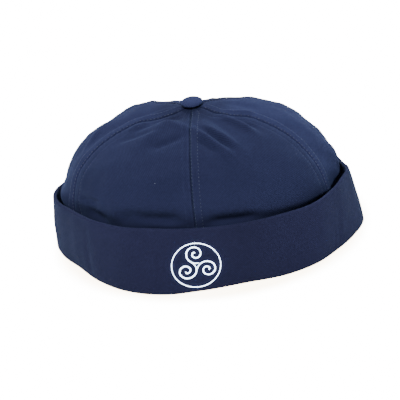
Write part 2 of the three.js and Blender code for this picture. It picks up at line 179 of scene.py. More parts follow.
# Finer drape of the crown, in the same columns: the folds' sharp crests and valleys, the broad
# swell of its shoulders, and the tucks and pockets where it sinks behind the cuff
DRAPE_ROWS = (
    (3, 0.81, 28, 0.62, 2.3, 1.3),
    (13, 0.79, 31, 0.66, 2.2, -0.9),
    (10, 0.742, 20, 0.665, 2.6, -1.1),
    (18, 0.81, 35, 0.667, 2.2, 1.5),
    (29, 0.878, 39, 0.72, 2.8, -1.1),
    (50, 0.86, 53, 0.725, 2.3, 1.7),
    (56.5, 0.83, 61, 0.72, 2.2, -1.1),
    (0, 0.805, -43, 0.847, 3.0, 1.2),
    (-48, 0.88, 48, 0.88, 6.5, -1.5),
    (-38, 0.84, -39, 0.69, 3.4, 1.2),
    (-41, 0.815, -55, 0.76, 2.8, 0.6),
    (-62, 0.82, -65.5, 0.75, 2.5, 0.9),
    (-24, 0.895, -45, 0.861, 2.8, -1.3),
    (-45, 0.861, -62, 0.742, 2.6, -1.4),
    (-37, 0.79, -58, 0.70, 2.6, -1.4),
    (-8, 0.769, -29, 0.70, 2.8, -0.8),
    (-73, 0.86, -81, 0.50, 4.5, -1.3),
    (-80, 0.95, -74, 0.80, 2.2, 0.8),
    (-90, 0.70, -80, 0.56, 2.4, 1.0),
    (62, 0.87, 80, 0.78, 2.4, 1.3),
    (96, 0.70, 81, 0.46, 4.5, 0.5),
    (96, 0.88, 88, 0.77, 4.0, -1.2),
    (-140, 0.83, -125, 0.79, 11, -1.7),
    (-138, 0.86, -112, 0.8, 8, -0.8),
    (-116, 0.74, -108, 0.7, 7, 0.9),
    (-101, 0.65, -94, 0.56, 8, 1.3),
    (156, 0.78, 128, 0.745, 13, -1.8),
    (117, 0.62, 108, 0.52, 11, 1.9),
    (91, 0.39, 84, 0.33, 7, 1.2),
    (104, 0.47, 97, 0.4, 5, -1.4),
    (172, 0.86, 150, 0.82, 5, 1.2),
    (-27, 0.355, -8, 0.342, 4.2, -3.2),
    (-38, 0.345, -26, 0.365, 5.0, -2.4),
    (-23, 0.312, -5, 0.304, 2.6, 0.7),
    (8, 0.315, 29, 0.31, 3.6, -2.8),
    (-63, 0.372, -50, 0.38, 3.0, -1.8),
    (-57, 0.32, -46, 0.30, 4.0, -2.2),
    (-72, 0.27, -104, 0.275, 6.5, 4.4),
)

# How the crown is drawn in behind the cuff's rim: azimuth, depth, and the shares below which it
# is at its deepest and above which it ends
TUCK_COLUMNS = ("azimuth", "depth", "full", "end")
TUCK_ROWS = (
    (0, 3.4, 0.262, 0.42),
    (20, 2.9, 0.262, 0.38),
    (40, 2.6, 0.262, 0.33),
    (52, 3.2, 0.262, 0.312),
    (60, 4.4, 0.255, 0.3),
    (68, 6.2, 0.235, 0.277),
    (73, 6.4, 0.235, 0.274),
    (77, 6.0, 0.24, 0.28),
    (83, 4.5, 0.24, 0.282),
    (90, 3.4, 0.25, 0.29),
    (104, 2.0, 0.25, 0.3),
    (130, 1.2, 0.262, 0.33),
    (180, 1.0, 0.262, 0.33),
    (230, 1.0, 0.262, 0.33),
    (262, 0.3, 0.262, 0.31),
    (280, 0.2, 0.262, 0.31),
    (300, 2.0, 0.262, 0.39),
    (330, 3.4, 0.262, 0.42),
)

# Where the cuff's rim leans out or rises a little, by azimuth
RIM_COLUMNS = ("azimuth", "out", "rise")
RIM_ROWS = (
    (0, 0.0, 0.0),
    (62, 0.0, 0.0),
    (72, 1.9, 0.8),
    (80, 2.3, 0.6),
    (88, 0.4, -0.8),
    (96, -0.4, -2.8),
    (105, 0.0, -3.8),
    (116, 0.0, -3.2),
    (128, 0.0, -1.2),
    (142, 0.0, 0.0),
    (250, 0.0, 0.0),
    (262, 0.0, 0.3),
    (275, 0.0, 0.2),
    (290, 0.0, 0.0),
)

# Soft creases of the cuff's wall, in the columns of Crease
CREASE_ROWS = (
    (63, 4, 4, 40, 5.0, -0.5),
    (57, -3, 10, 34, 4.0, 0.4),
    (-62, 2, 2, 44, 6.0, 0.5),
    (-52, 2, 0, 30, 5.0, -0.4),
    (-75, 0, 6, 40, 5.0, -0.4),
    (24, 3, 2, 30, 8.0, 0.4),
    (62.3, 1.4, 1, 29, 1.1, 0.4),
    (66, 2, -4, 50, 3.5, 0.35),
    (-53, 1, 0, 40, 3.0, -0.5),
    (96, 0, 0, 52, 22.0, 1.6),
    (-88, 0, -6, 30, 18.0, 1.0),
)

# The crown's panels, and each one's painted light, a factor that brightens its twill's colour,
# matched to the photo where it shows them
CROWN_PANELS = (
    ("front_right", 1.0),
    ("side_right", 1.32),
    ("back_right", 1.08),
    ("back_left", 1.04),
    ("side_left", 1.16),
    ("front_left", 1.0),
)

# Painted light and shade on the cuff's twill by azimuth, a factor on its colour, matched to the
# photo at the front
CUFF_PAINTED_LIGHT_COLUMNS = ("azimuth", "painted_light")
CUFF_PAINTED_LIGHT_ROWS = (
    (0, 0.97),
    (20, 0.89),
    (52, 1.12),
    (90, 0.95),
    (180, 1.0),
    (280, 0.9),
    (315, 1.07),
)

# The triskele's arms, in the columns of Arm
ARM_ROWS = (
    ("top", -0.15, 8.6, 91.0, 556.0),
    ("right", 7.1, -3.65, -22.0, 554.0),
    ("left", -6.9, -3.15, 210.0, 570.0),
)


def columns_of(names: Sequence[str], rows: Sequence[Sequence[float]]) -> dict[str, np.ndarray]:
    """Turns a short table into named columns.

    Args:
        names: The columns' names.
        rows: The rows, each with one value per name.

    Returns:
        The columns by name.
    """
    return dict(zip(names, np.array(rows, float).T))


def read_round(
    names: Sequence[str], rows: Sequence[Sequence[float]], azimuth: np.ndarray
) -> list[np.ndarray]:
    """Reads a table of values round the cap, with straight runs between its rows.

    Args:
        names: The columns' names, the azimuth first.
        rows: The rows.
        azimuth: Where the table is read.

    Returns:
        The other columns' values at each azimuth.
    """
    table = columns_of(names, rows)
    turn = np.asarray(azimuth, float) % 360.0
    return [np.interp(turn, table[names[0]], table[name], period=360.0) for name in names[1:]]


def smooth_step(x: np.ndarray, start: float, end: float) -> np.ndarray:
    """Rises smoothly from 0 at start to 1 at end.

    Args:
        x: Where the step is read.
        start: Where the step begins.
        end: Where the step is complete.

    Returns:
        The step's height at each x.
    """
    t = np.clip((x - start) / (end - start), 0.0, 1.0)
    return t * t * (3.0 - 2.0 * t)


def unit(vectors: np.ndarray) -> np.ndarray:
    """Scales vectors to length 1, and leaves a zero vector as it is."""
    return vectors / (np.linalg.norm(vectors, axis=-1, keepdims=True) + TINY)


def run_along(points: np.ndarray) -> np.ndarray:
    """Gives the distance along a line of points, from 0 at the first of them."""
    lengths = np.linalg.norm(np.diff(points, axis=0), axis=-1)
    return np.concatenate(([0.0], np.cumsum(lengths)))


def towards(azimuth: float, elevation: float) -> Vector:
    """Gives the direction from the cap towards an azimuth and an elevation, in degrees."""
    turn, level = azimuth * RAD, math.cos(elevation * RAD)
    return Vector((math.sin(turn) * level, -math.cos(turn) * level, math.sin(elevation * RAD)))


def bell(x: np.ndarray, width: float) -> np.ndarray:
    """Gives a soft hump of height 1 round 0, with its half width."""
    return np.exp(-((x / width) ** 2))


def add_object(name: str, data: bpy.types.ID) -> bpy.types.Object:
    """Makes an object and links it to the scene.

    Args:
        name: The object's name.
        data: Its mesh, light or camera.

    Returns:
        The new object.
    """
    made = bpy.data.objects.new(name, data)
    bpy.context.scene.collection.objects.link(made)
    return made


def polar(radius: np.ndarray, azimuth: np.ndarray, height: np.ndarray) -> np.ndarray:
    """Gives points from their radius, azimuth and height.

    Args:
        radius: Distance from the cap's axis.
        azimuth: Degrees from the front towards +X.
        height: Height above the ground.

    Returns:
        Points, with x, y and z along the last axis.
    """
    turn = np.asarray(azimuth) * RAD
    parts = np.broadcast_arrays(radius * np.sin(turn), -radius * np.cos(turn), height)
    return np.stack(parts, axis=-1).astype(float)


@dataclass(frozen=True)
class Placement:
    """Moves the cap's own millimetres into the shared frame's metres."""

    x: float
    y: float

    @classmethod
    def from_button(cls, apex_x: float, apex_y: float) -> "Placement":
        """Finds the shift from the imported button, whose axis runs through the crown's peak.

        Args:
            apex_x: The peak's x in the cap's own frame.
            apex_y: The peak's y in the cap's own frame.

        Returns:
            The placement of the whole cap.
        """
        low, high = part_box("button")
        middle_x = (low[0] + high[0]) / 2.0 / MM
        middle_y = (low[1] + high[1]) / 2.0 / MM
        return cls(middle_x - apex_x, middle_y - apex_y)

    def metres(self, points: np.ndarray) -> np.ndarray:
        """Turns points of the cap's frame into metres of the shared frame."""
        return (np.asarray(points) + (self.x, self.y, 0.0)) * MM


@dataclass(frozen=True)
class Ripple:
    """A soft, even unevenness of cloth: a few crossing waves with seeded directions."""

    seed: int
    wavelength: float
    height: float
    waves: int = 7
    shortest: float = 0.6
    longest: float = 1.6

    def at(self, points: np.ndarray) -> np.ndarray:
        """Reads the unevenness.

        Args:
            points: Points in millimetres.

        Returns:
            The height of the unevenness at each point.
        """
        draw = np.random.default_rng(self.seed)
        total = np.zeros(points.shape[:-1])
        for _ in range(self.waves):
            direction = unit(draw.normal(size=3))
            length = self.wavelength * draw.uniform(self.shortest, self.longest)
            phase = draw.uniform(0.0, 2.0 * math.pi)
            total += np.sin(points @ direction * 2.0 * math.pi / length + phase)
        return total * self.height / math.sqrt(self.waves)


@dataclass(frozen=True)
class SeamProfile:
    """The relief across a felled and topstitched seam, from its groove outwards."""

    band: float = 5.6
    band_limit: float = 0.47
    groove_depth: float = 1.55
    groove_width: float = 0.5
    groove_break: float = 0.75
    felled_rise: float = 0.7
    plain_rise: float = 0.1
    rise_start: float = 0.3
    rise_end: float = 1.4
    fall_before: float = 0.5
    fall_after: float = 0.9
    valley: float = 0.2
    valley_width: float = 0.7
    pucker: float = 0.12
    pucker_width: float = 1.6
    pitch: float = 2.5

    def lift(
        self, distance: np.ndarray, run: np.ndarray, felled: np.ndarray, grip: np.ndarray
    ) -> np.ndarray:
        """Gives the cloth's height beside the seam.

        Args:
            distance: Distance from the groove.
            run: Distance along the seam.
            felled: Whether the allowances lie on this side.
            grip: How hard the seam is pulled in.

        Returns:
            The height above the plain panel.
        """
        wave = np.cos(2.0 * math.pi * run / self.pitch)
        depth = self.groove_depth * grip * (1.0 - self.groove_break * (1.0 - wave) / 2.0)
        groove = -depth * bell(distance, self.groove_width)
        up = smooth_step(distance, self.rise_start, self.rise_end)
        fall_start, fall_end = self.band - self.fall_before, self.band + self.fall_after
        down = 1.0 - smooth_step(distance, fall_start, fall_end)
        beside = distance - self.band
        valley = -self.valley * bell(beside, self.valley_width)
        pucker = self.pucker * wave * bell(beside, self.pucker_width)
        rise = np.where(felled, self.felled_rise, self.plain_rise)
        return groove + rise * up * down + valley + pucker


@dataclass(frozen=True)
class CapForm:
    """The plain form of the crown and the cuff, the same as that of the solids."""

    apex_height: float = 97.8
    apex_x: float = -0.6
    apex_y: float = -1.8
    edge_height: float = 5.0
    edge_clearance: float = 0.9
    edge_flare: float = 1.6
    belly_height: float = 35.0
    belly_share: float = 0.22
    swell_angle: float = 0.6
    highest_rise: float = 0.9999
    seam_bend_start: float = 0.2
    seam_bend_end: float = 0.7
    slack_grip: float = 0.15
    grip_before: float = 0.1
    grip_after: float = 0.05
    cuff_cloth: float = 2.6
    cuff_bulge: float = 0.8
    foot_round: float = 2.2
    rim_round: float = 1.3

    def plan(self, column: str, azimuth: np.ndarray) -> np.ndarray:
        """Reads a column of the plan as a smooth closed curve through its rows.

        Args:
            column: The column's name.
            azimuth: Degrees from the front.

        Returns:
            The column's value at each azimuth.
        """
        table = columns_of(PLAN_COLUMNS, PLAN_ROWS)
        places, values, count = table["azimuth"], table[column], len(PLAN_ROWS)
        turn = np.asarray(azimuth, float) % 360.0
        row = np.searchsorted(places, turn, side="right") - 1

        def place(i: np.ndarray) -> np.ndarray:
            """The azimuth of a row, counted past the last one."""
            return places[i % count] + 360.0 * np.floor_divide(i, count)

        def slope(i: np.ndarray) -> np.ndarray:
            """The curve's slope at a row."""
            rise = values[(i + 1) % count] - values[(i - 1) % count]
            return rise / (place(i + 1) - place(i - 1))

        span = place(row + 1) - place(row)
        f = (turn - place(row)) / span
        start, end = values[row], values[(row + 1) % count]
        bend = (f**3 - 2 * f**2 + f) * slope(row) + (f**3 - f**2) * slope(row + 1)
        return start + (3 * f**2 - 2 * f**3) * (end - start) + bend * span

    def crown(self, azimuth: np.ndarray, share: np.ndarray) -> np.ndarray:
        """Gives points of the crown: a flared skirt inside the cuff, then a full arch.

        Args:
            azimuth: Degrees from the front.
            share: Share of the panels' height.

        Returns:
            Points of the plain crown.
        """
        azimuth, share = np.broadcast_arrays(np.asarray(azimuth, float), np.asarray(share, float))
        belly = self.plan("crown", azimuth)
        drop = np.clip((self.belly_share - share) / self.belly_share, 0.0, 1.0)
        edge = self.plan("foot", azimuth) - self.cuff_cloth - self.edge_clearance
        skirt = belly + (edge - belly) * drop**self.edge_flare
        skirt_height = self.belly_height - (self.belly_height - self.edge_height) * drop
        rise = (share - self.belly_share) / (1.0 - self.belly_share)
        rise = np.clip(rise, 0.0, self.highest_rise)
        angle = rise * math.pi / 2.0
        full = self.plan("fullness", azimuth)
        wide = belly + self.plan("swell", azimuth) * smooth_step(angle, 0.0, self.swell_angle)
        arch = (np.cos(angle) ** full + np.sin(angle) ** full) ** (-1.0 / full)
        vault = self.apex_height - self.belly_height
        arch_height = self.belly_height + vault * arch * np.sin(angle)
        low = share < self.belly_share
        radius = np.where(low, skirt, wide * arch * np.cos(angle))
        points = polar(radius, azimuth, np.where(low, skirt_height, arch_height))
        points[..., 0] += self.apex_x * np.sin(angle) ** 2
        points[..., 1] += self.apex_y * np.sin(angle) ** 2
        return points

    def crown_normal(self, azimuth: np.ndarray, share: np.ndarray) -> np.ndarray:
        """Gives the plain crown's outward directions.

        Args:
            azimuth: Degrees from the front.
            share: Share of the panels' height.

        Returns:
            The unit direction at each place.
        """
        turn, step = 0.05, 0.0005
        across = self.crown(azimuth + turn, share) - self.crown(azimuth - turn, share)
        high = self.crown(azimuth, np.minimum(share + step, 1.0))
        low = self.crown(azimuth, np.maximum(share - step, 0.0))
        return unit(np.cross(across, high - low))

    def spread(self, points: np.ndarray) -> np.ndarray:
        """Gives the distance of points from the peak's axis."""
        return np.hypot(points[..., 0] - self.apex_x, points[..., 1] - self.apex_y)

    def seam(self, number: int, share: np.ndarray) -> np.ndarray:
        """Gives the azimuth of a seam.

        Args:
            number: The seam's number, which may run past the last one.
            share: Share of the panels' height.

        Returns:
            The seam's azimuth at each share.
        """
        turns, row = divmod(number, len(SEAM_ROWS))
        seam = Seam(*SEAM_ROWS[row])
        bend = smooth_step(share, self.seam_bend_start, self.seam_bend_end)
        last_bend = smooth_step(share, seam.bend_start, seam.bend_end)
        swerve = (seam.middle - seam.cuff) * bend + (seam.button - seam.middle) * last_bend
        return seam.cuff + 360.0 * turns + swerve

    def seam_grip(self, number: int, share: np.ndarray) -> np.ndarray:
        """Gives how hard a seam is pulled in.

        Args:
            number: The seam's number, which may run past the last one.
            share: Share of the panels' height.

        Returns:
            The pull, from slack near the cuff to 1 above.
        """
        pulled = Seam(*SEAM_ROWS[number % len(SEAM_ROWS)]).pulled
        tight = smooth_step(share, pulled - self.grip_before, pulled + self.grip_after)
        return self.slack_grip + (1.0 - self.slack_grip) * tight

    def cuff_radius(self, azimuth: np.ndarray, height: np.ndarray) -> np.ndarray:
        """Gives the radius of the cuff's outer face between its foot and its rim.

        Args:
            azimuth: Degrees from the front.
            height: Height above the ground.

        Returns:
            The radius at each place.
        """
        top = self.plan("height", azimuth) - self.rim_round
        s = np.clip((height - self.foot_round) / (top - self.foot_round), 0.0, 1.0)
        foot = self.plan("foot", azimuth)
        return foot + (self.plan("rim", azimuth) - foot) * s + self.cuff_bulge * 4 * s * (1 - s)


FORM = CapForm()
PLACE = Placement.from_button(FORM.apex_x, FORM.apex_y)


@dataclass(frozen=True)
class Drape:
    """The crown's folds, and the tuck that draws it in behind the cuff's rim."""

    tuck_start: float = 0.1
    tuck_full: float = 0.19
    fold_reach: float = 3.0
    fold_end: float = 1.05

    def tuck(self, azimuth: np.ndarray, share: np.ndarray) -> np.ndarray:
        """Gives how far the crown is drawn in behind the cuff's rim.

        Args:
            azimuth: Degrees from the front.
            share: Share of the panels' height.

        Returns:
            The depth at each place.
        """
        depth, full, end = read_round(TUCK_COLUMNS, TUCK_ROWS, azimuth)
        below = smooth_step(share, self.tuck_start, self.tuck_full)
        return depth * below * (1.0 - smooth_step(share, full, end))

    def lift(self, points: np.ndarray, normals: np.ndarray) -> np.ndarray:
        """Raises and lowers the crown along its folds.

        Args:
            points: Points of the plain crown.
            normals: The crown's outward directions there.

        Returns:
            The height of the folds at each point.
        """
        lift = np.zeros(points.shape[:-1])
        for fold in (Fold(*row) for row in FOLD_ROWS + DRAPE_ROWS):
            start = FORM.crown(fold.from_azimuth, fold.from_share)
            end = FORM.crown(fold.to_azimuth, fold.to_share)
            length = np.linalg.norm(end - start)
            direction = (end - start) / length
            side = unit(np.cross(direction, normals))
            offset = points - start
            lateral = np.sum(offset * side, axis=-1)
            along = 2.0 * (offset @ direction) / length - 1.0
            gap = np.linalg.norm(points - (start + end) / 2.0, axis=-1)
            near = gap < length + self.fold_reach * fold.half_width
            ends = np.exp(-((along / self.fold_end) ** 4))
            lift += near * fold.height * bell(lateral, fold.half_width) * ends
        return lift


# Points, their places on the flat cloth, creases and painted light, and what gives them by column
# and row
Cloth = tuple[np.ndarray, np.ndarray, np.ndarray, np.ndarray]
Surface = Callable[[np.ndarray, np.ndarray], Cloth]


def cloth_layers(bm: bmesh.types.BMesh) -> tuple:
    """Gives a new mesh its layers for places on the flat cloth, creases and painted light."""
    floats = bm.verts.layers.float
    return bm.loops.layers.uv.new(UV_LAYER), floats.new(CREASE_LAYER), floats.new(PAINTED_LIGHT_LAYER)


def woven_grid(columns: np.ndarray, rows: np.ndarray, surface: Surface) -> bmesh.types.BMesh:
    """Makes a grid and moves each of its vertices onto a surface.

    Args:
        columns: The surface's first parameter at each column.
        rows: The surface's second parameter at each row.
        surface: Gives points in millimetres, places on the cloth in metres, creases and painted
            light.

    Returns:
        The moved grid, with its cloth places as a UV map and its creases and painted light as
        vertex values.
    """
    bm = bmesh.new()
    uv_layer, crease_layer, painted_light_layer = cloth_layers(bm)
    bmesh.ops.create_grid(bm, x_segments=len(columns) - 1, y_segments=len(rows) - 1, size=0.5)
    flat = np.array([vert.co[:2] for vert in bm.verts])
    flat = (flat - flat.min(axis=0)) / np.ptp(flat, axis=0)
    column = np.rint(flat[:, 0] * (len(columns) - 1)).astype(int)
    row = np.rint(flat[:, 1] * (len(rows) - 1)).astype(int)
    points, cloth, creases, painted_lights = surface(columns[column], rows[row])
    places = PLACE.metres(points)
    bm.verts.index_update()
    for vert, place, crease, painted_light in zip(bm.verts, places, creases, painted_lights):
        vert.co = place
        vert[crease_layer] = crease
        vert[painted_light_layer] = painted_light
    for face in bm.faces:
        face.smooth = True
        for loop in face.loops:
            loop[uv_layer].uv = cloth[loop.vert.index]
    return bm


def finish_piece(
    name: str, bm: bmesh.types.BMesh, material: bpy.types.Material, nodes: Sequence[str]
) -> bpy.types.Object:
    """Turns a bmesh into a piece of the cap that rides on its body.

    Args:
        name: The piece's name.
        bm: Its mesh, in metres of the shared frame.
        material: Its finish.
        nodes: The solids that it stands for.

    Returns:
        The new object.
    """
    mesh = bpy.data.meshes.new(name)
    bm.to_mesh(mesh)
    bm.free()
    mesh.materials.append(material)
    piece = add_object(name, mesh)
    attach(piece, BODY)
    if nodes:
        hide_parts(*nodes)
    log.info("%s: %d faces", name, len(mesh.polygons))
    return piece


@dataclass(frozen=True)
class Strand:
    """One stitch of thread: a thin bead that bends down into the cloth at its two ends."""

    thickness: float
    sides: int = 6
    rings: int = 6

    def add(
        self,
        whole: bmesh.types.BMesh,
        middle: np.ndarray,
        along: np.ndarray,
        normal: np.ndarray,
        length: float,
        sag: float,
    ) -> None:
        """Adds one stitch to a mesh.

        Args:
            whole: The mesh, in metres of the shared frame.
            middle: The stitch's middle, in millimetres.
            along: The direction of the stitch.
            normal: The direction away from the cloth.
            length: The stitch's length in millimetres.
            sag: How far its ends drop below its middle, in millimetres.
        """
        direction = Vector(unit(along))
        side = Vector(unit(normal)).cross(direction).normalized()
        out = direction.cross(side)
        half = length * MM / 2.0
        thick = self.thickness * MM / 2.0
        turn = Matrix((side * thick, out * thick, direction * half)).transposed().to_4x4()
        bead = bmesh.new()
        bmesh.ops.create_uvsphere(bead, u_segments=self.sides, v_segments=self.rings, radius=1.0)
        for vert in bead.verts:
            bend = out * (sag * MM * vert.co.z**2)
            vert.co = turn @ vert.co - bend
        bmesh.ops.translate(bead, verts=bead.verts, vec=PLACE.metres(middle))
        for face in bead.faces:
            face.smooth = True
        mesh = bpy.data.meshes.new("stitch")
        bead.to_mesh(mesh)
        bead.free()
        whole.from_mesh(mesh)
        bpy.data.meshes.remove(mesh)


@dataclass(frozen=True)
class Crown:
    """The crown: six panels with felled seams, folds, puffs and a dimple under the button."""

    profile: SeamProfile = SeamProfile()
    drape: Drape = Drape()
    crumple: Ripple = Ripple(seed=11, wavelength=26.0, height=0.32)
    fine: Ripple = Ripple(seed=23, wavelength=8.0, height=0.07)
    cloth: float = 1.3
    tip_share: float = 0.983
    relief_start: float = 0.16
    relief_full: float = 0.26
    puff: float = 1.8
    puff_level: float = 0.45
    puff_roundness: float = 0.8
    puff_start: float = 0.2
    puff_full: float = 0.4
    puff_fades: float = 0.75
    dimple_depth: float = 0.4
    dimple_radius: float = 13.0
    # Painted shade round the button: the twill's colour darkens to this factor near the peak,
    # between these shares
    peak_painted_shade: float = 0.73
    peak_painted_shade_start: float = 0.84
    peak_painted_shade_full: float = 0.9
    row_wear: float = 0.6
    row_wear_width: float = 0.8
    edge_wear_place: float = 1.3
    edge_wear_width: float = 0.6
    wear_start: float = 0.2
    wear_full: float = 0.28
    # How far from a seam's groove the grid's columns lie beside it
    seam_columns: tuple[float, ...] = (
        0.0, 0.2, 0.4, 0.65, 0.95, 1.4, 2.2, 3.2, 4.2, 4.8, 5.2, 5.6, 6.0, 6.5, 7.2, 8.2
    )
    seam_columns_limit: float = 0.42
    inner_columns: int = 58
    hidden_rows: int = 6
    visible_rows: int = 150
    hidden_share: float = 0.17
    run_samples: int = 400

    def seam_runs(self, number: int, shares: np.ndarray) -> np.ndarray:
        """Gives the distance along a seam from the panels' lower edge.

        Args:
            number: The seam's number.
            shares: Where the distance is read.

        Returns:
            The distance at each share, in millimetres.
        """
        steps = np.linspace(0.0, 1.0, self.run_samples)
        line = FORM.crown(FORM.seam(number, steps), steps)
        return np.interp(shares, steps, run_along(line))

    def band_scale(self, width: np.ndarray) -> np.ndarray:
        """Gives how far a seam's band is narrowed where its panel is narrow."""
        return np.minimum(1.0, self.profile.band_limit * width / self.profile.band)

    def groove_grip(self, number: int, share: np.ndarray) -> np.ndarray:
        """Gives how deep a seam's groove is, the same from both of its panels.

        Args:
            number: The seam's number.
            share: Share of the panels' height.

        Returns:
            The depth as a share of the full groove.
        """
        before = self.band_scale(self.width(number - 1, share))
        after = self.band_scale(self.width(number, share))
        return FORM.seam_grip(number, share) * np.minimum(before, after)

    def width(self, panel: int, share: np.ndarray) -> np.ndarray:
        """Gives a panel's width from seam to seam.

        Args:
            panel: The panel's number.
            share: Share of the panels' height.

        Returns:
            The width at each share, in millimetres.
        """
        left, right = FORM.seam(panel, share), FORM.seam(panel + 1, share)
        middle = FORM.crown((left + right) / 2.0, share)
        return FORM.spread(middle) * (right - left) * RAD

    def face(
        self, panel: int, across: np.ndarray, share: np.ndarray
    ) -> tuple[np.ndarray, np.ndarray]:
        """Gives points of a panel's outer face, with every fold and seam in it.

        Args:
            panel: The panel's number.
            across: Share of the panel's width, from its first seam.
            share: Share of the panels' height.

        Returns:
            The points and the plain crown's outward directions there.
        """
        left, right = FORM.seam(panel, share), FORM.seam(panel + 1, share)
        azimuth = left + (right - left) * across
        points = FORM.crown(azimuth, share)
        normals = FORM.crown_normal(azimuth, share)
        width = self.width(panel, share)
        scale = self.band_scale(width)
        distance = np.minimum(across, 1.0 - across) * width / scale
        first_half = across < 0.5
        run = np.where(first_half, self.seam_runs(panel, share), self.seam_runs(panel + 1, share))
        after, before = FELLED_AFTER[panel], ~FELLED_AFTER[(panel + 1) % len(SEAM_ROWS)]
        felled = np.where(first_half, after, before)
        first_grip, second_grip = (self.groove_grip(seam, share) for seam in (panel, panel + 1))
        grip = np.where(first_half, first_grip, second_grip) / scale
        relief = smooth_step(share, self.relief_start, self.relief_full)
        band = self.profile.lift(distance, run, felled, grip) * scale * relief
        tension = smooth_step(share, self.puff_start, self.puff_full)
        tension = tension * (1.0 - smooth_step(share, self.puff_fades, 1.0))
        bow = np.sin(math.pi * np.clip(across, 0.0, 1.0)) ** self.puff_roundness
        puff = self.puff * (bow - self.puff_level) * tension
        dimple = self.dimple_depth * bell(FORM.spread(points), self.dimple_radius)
        uneven = (self.crumple.at(points) + self.fine.at(points)) * relief
        lift = self.drape.lift(points, normals) + puff + band + uneven
        lift = lift - dimple - self.drape.tuck(azimuth, share)
        return points + normals * lift[..., None], normals

    def panel_grid(self, panel: int) -> bmesh.types.BMesh:
        """Makes a panel's outer face as a moved grid, finer beside its seams.

        Args:
            panel: The panel's number.

        Returns:
            The face, from the hem inside the cuff to the peak.
        """
        steps = np.array(self.seam_columns)
        inner = np.linspace(0.0, 1.0, self.inner_columns)
        first = np.stack([steps, np.zeros_like(steps)], axis=-1)
        last = np.stack([-steps[::-1], np.ones_like(steps)], axis=-1)
        middle = np.stack([steps[-1] * (1.0 - 2.0 * inner), inner], axis=-1)[1:-1]
        keys = np.concatenate([first, middle, last])
        hidden = np.linspace(0.0, self.hidden_share, self.hidden_rows, endpoint=False)
        shown = np.linspace(self.hidden_share, self.tip_share, self.visible_rows)
        rows = np.concatenate([hidden, shown])

        def surface(column: np.ndarray, share: np.ndarray) -> Cloth:
            """Gives a panel's cloth.

            Args:
                column: The grid's column.
                share: Share of the panels' height.

            Returns:
                Points, places on the flat cloth, creases and painted light.
            """
            near, side = keys[column.astype(int)].T
            width = self.width(panel, share)
            narrowing = np.minimum(1.0, self.seam_columns_limit * width / steps[-1])
            across = side + near * narrowing / width
            points, _ = self.face(panel, across, share)
            run = self.seam_runs(panel, share)
            cloth = np.stack([(across - 0.5) * width, run], axis=-1) * MM
            distance = np.minimum(across, 1.0 - across) * width / self.band_scale(width)
            beside = bell(distance - self.profile.band, self.row_wear_width)
            edge = bell(distance - self.edge_wear_place, self.edge_wear_width)
            worn = smooth_step(share, self.wear_start, self.wear_full)
            crease = np.maximum(beside * self.row_wear, edge) * worn
            # Painted light and shade: the panel's brightening factor, darkened towards the peak
            _, panel_painted_light = CROWN_PANELS[panel]
            near_peak = smooth_step(share, self.peak_painted_shade_start, self.peak_painted_shade_full)
            painted_light = panel_painted_light * (1.0 + (self.peak_painted_shade - 1.0) * near_peak)
            return points, cloth, crease, painted_light

        return woven_grid(np.arange(len(keys)), rows, surface)

    def build(self, finish: bpy.types.Material) -> None:
        """Makes the six panels, each a sheet of cloth with its thickness.

        Args:
            finish: The crown's twill.
        """
        for number, (name, _) in enumerate(CROWN_PANELS):
            bm = self.panel_grid(number)
            solid = f"crown_panel_{name}"
            piece = finish_piece(f"panel_{name}", bm, finish, [solid])
            wall = piece.modifiers.new("cloth_thickness", "SOLIDIFY")
            wall.thickness = self.cloth * MM
            wall.offset = -1.0


class StitchRow(Enum):
    """Rows of stitches along a seam: felled side or not, distance from the groove, and sinking."""

    EDGE = (True, 1.0, 0.36)
    FELLED = (True, 5.6, 0.22)
    PLAIN = (False, 5.6, 0.4)


@dataclass(frozen=True)
class Topstitching:
    """Rows of lockstitch that hold the felled allowances down along every crown seam."""

    crown: Crown
    pitch: float = 2.5
    length: float = 1.55
    strand: Strand = Strand(thickness=0.46, sides=6, rings=6)
    sag: float = 0.3
    slack_rise: float = 0.2
    from_share: float = 0.24
    to_share: float = 0.955
    samples: int = 600
    share_step: float = 0.003
    shortest: float = 0.92
    longest: float = 1.06
    wander: float = 0.05
    slant: float = 0.03
    seed: int = 100

    def row(
        self, bm: bmesh.types.BMesh, seam: int, kind: StitchRow, draw: np.random.Generator
    ) -> None:
        """Adds one row of stitches beside a seam.

        Args:
            bm: The mesh that takes the stitches.
            seam: The seam's number.
            kind: Which row of the seam it is.
            draw: Source of the small differences from stitch to stitch.
        """
        felled, offset, sink = kind.value
        after = felled == FELLED_AFTER[seam]
        panel = seam if after else (seam - 1) % len(SEAM_ROWS)
        number = seam if after else panel + 1
        shares = np.linspace(self.from_share, self.to_share, self.samples)
        runs = self.crown.seam_runs(number, shares)
        first, last = math.ceil(runs[0] / self.pitch), int(runs[-1] / self.pitch)
        marks = np.arange(first, last) * self.pitch
        share = np.interp(marks + self.pitch / 2.0, runs, shares)
        width = self.crown.width(panel, share)
        reach = offset * self.crown.band_scale(width) / width
        across = reach if after else 1.0 - reach
        points, normals = self.crown.face(panel, across, share)
        ahead, _ = self.crown.face(panel, across, share + self.share_step)
        behind, _ = self.crown.face(panel, across, share - self.share_step)
        slack = self.slack_rise * (1.0 - FORM.seam_grip(number, share))
        lifts = self.strand.thickness / 2.0 - sink + slack
        for point, normal, along, lift in zip(points, normals, unit(ahead - behind), lifts):
            length = self.length * draw.uniform(self.shortest, self.longest)
            sideways = np.cross(normal, along)
            middle = point + normal * lift + sideways * draw.normal(0.0, self.wander)
            lean = along + sideways * draw.normal(0.0, self.slant)
            self.strand.add(bm, middle, lean, normal, length, self.sag)

    def build(self, finish: bpy.types.Material) -> None:
        """Makes the stitches of all six seams, one piece for each seam.

        Args:
            finish: The navy thread.
        """
        for seam, name in enumerate(SEAM_NAMES):
            draw = np.random.default_rng(self.seed + seam)
            bm = bmesh.new()
            for kind in StitchRow:
                self.row(bm, seam, kind, draw)
            finish_piece(f"topstitching_{name}", bm, finish, [])


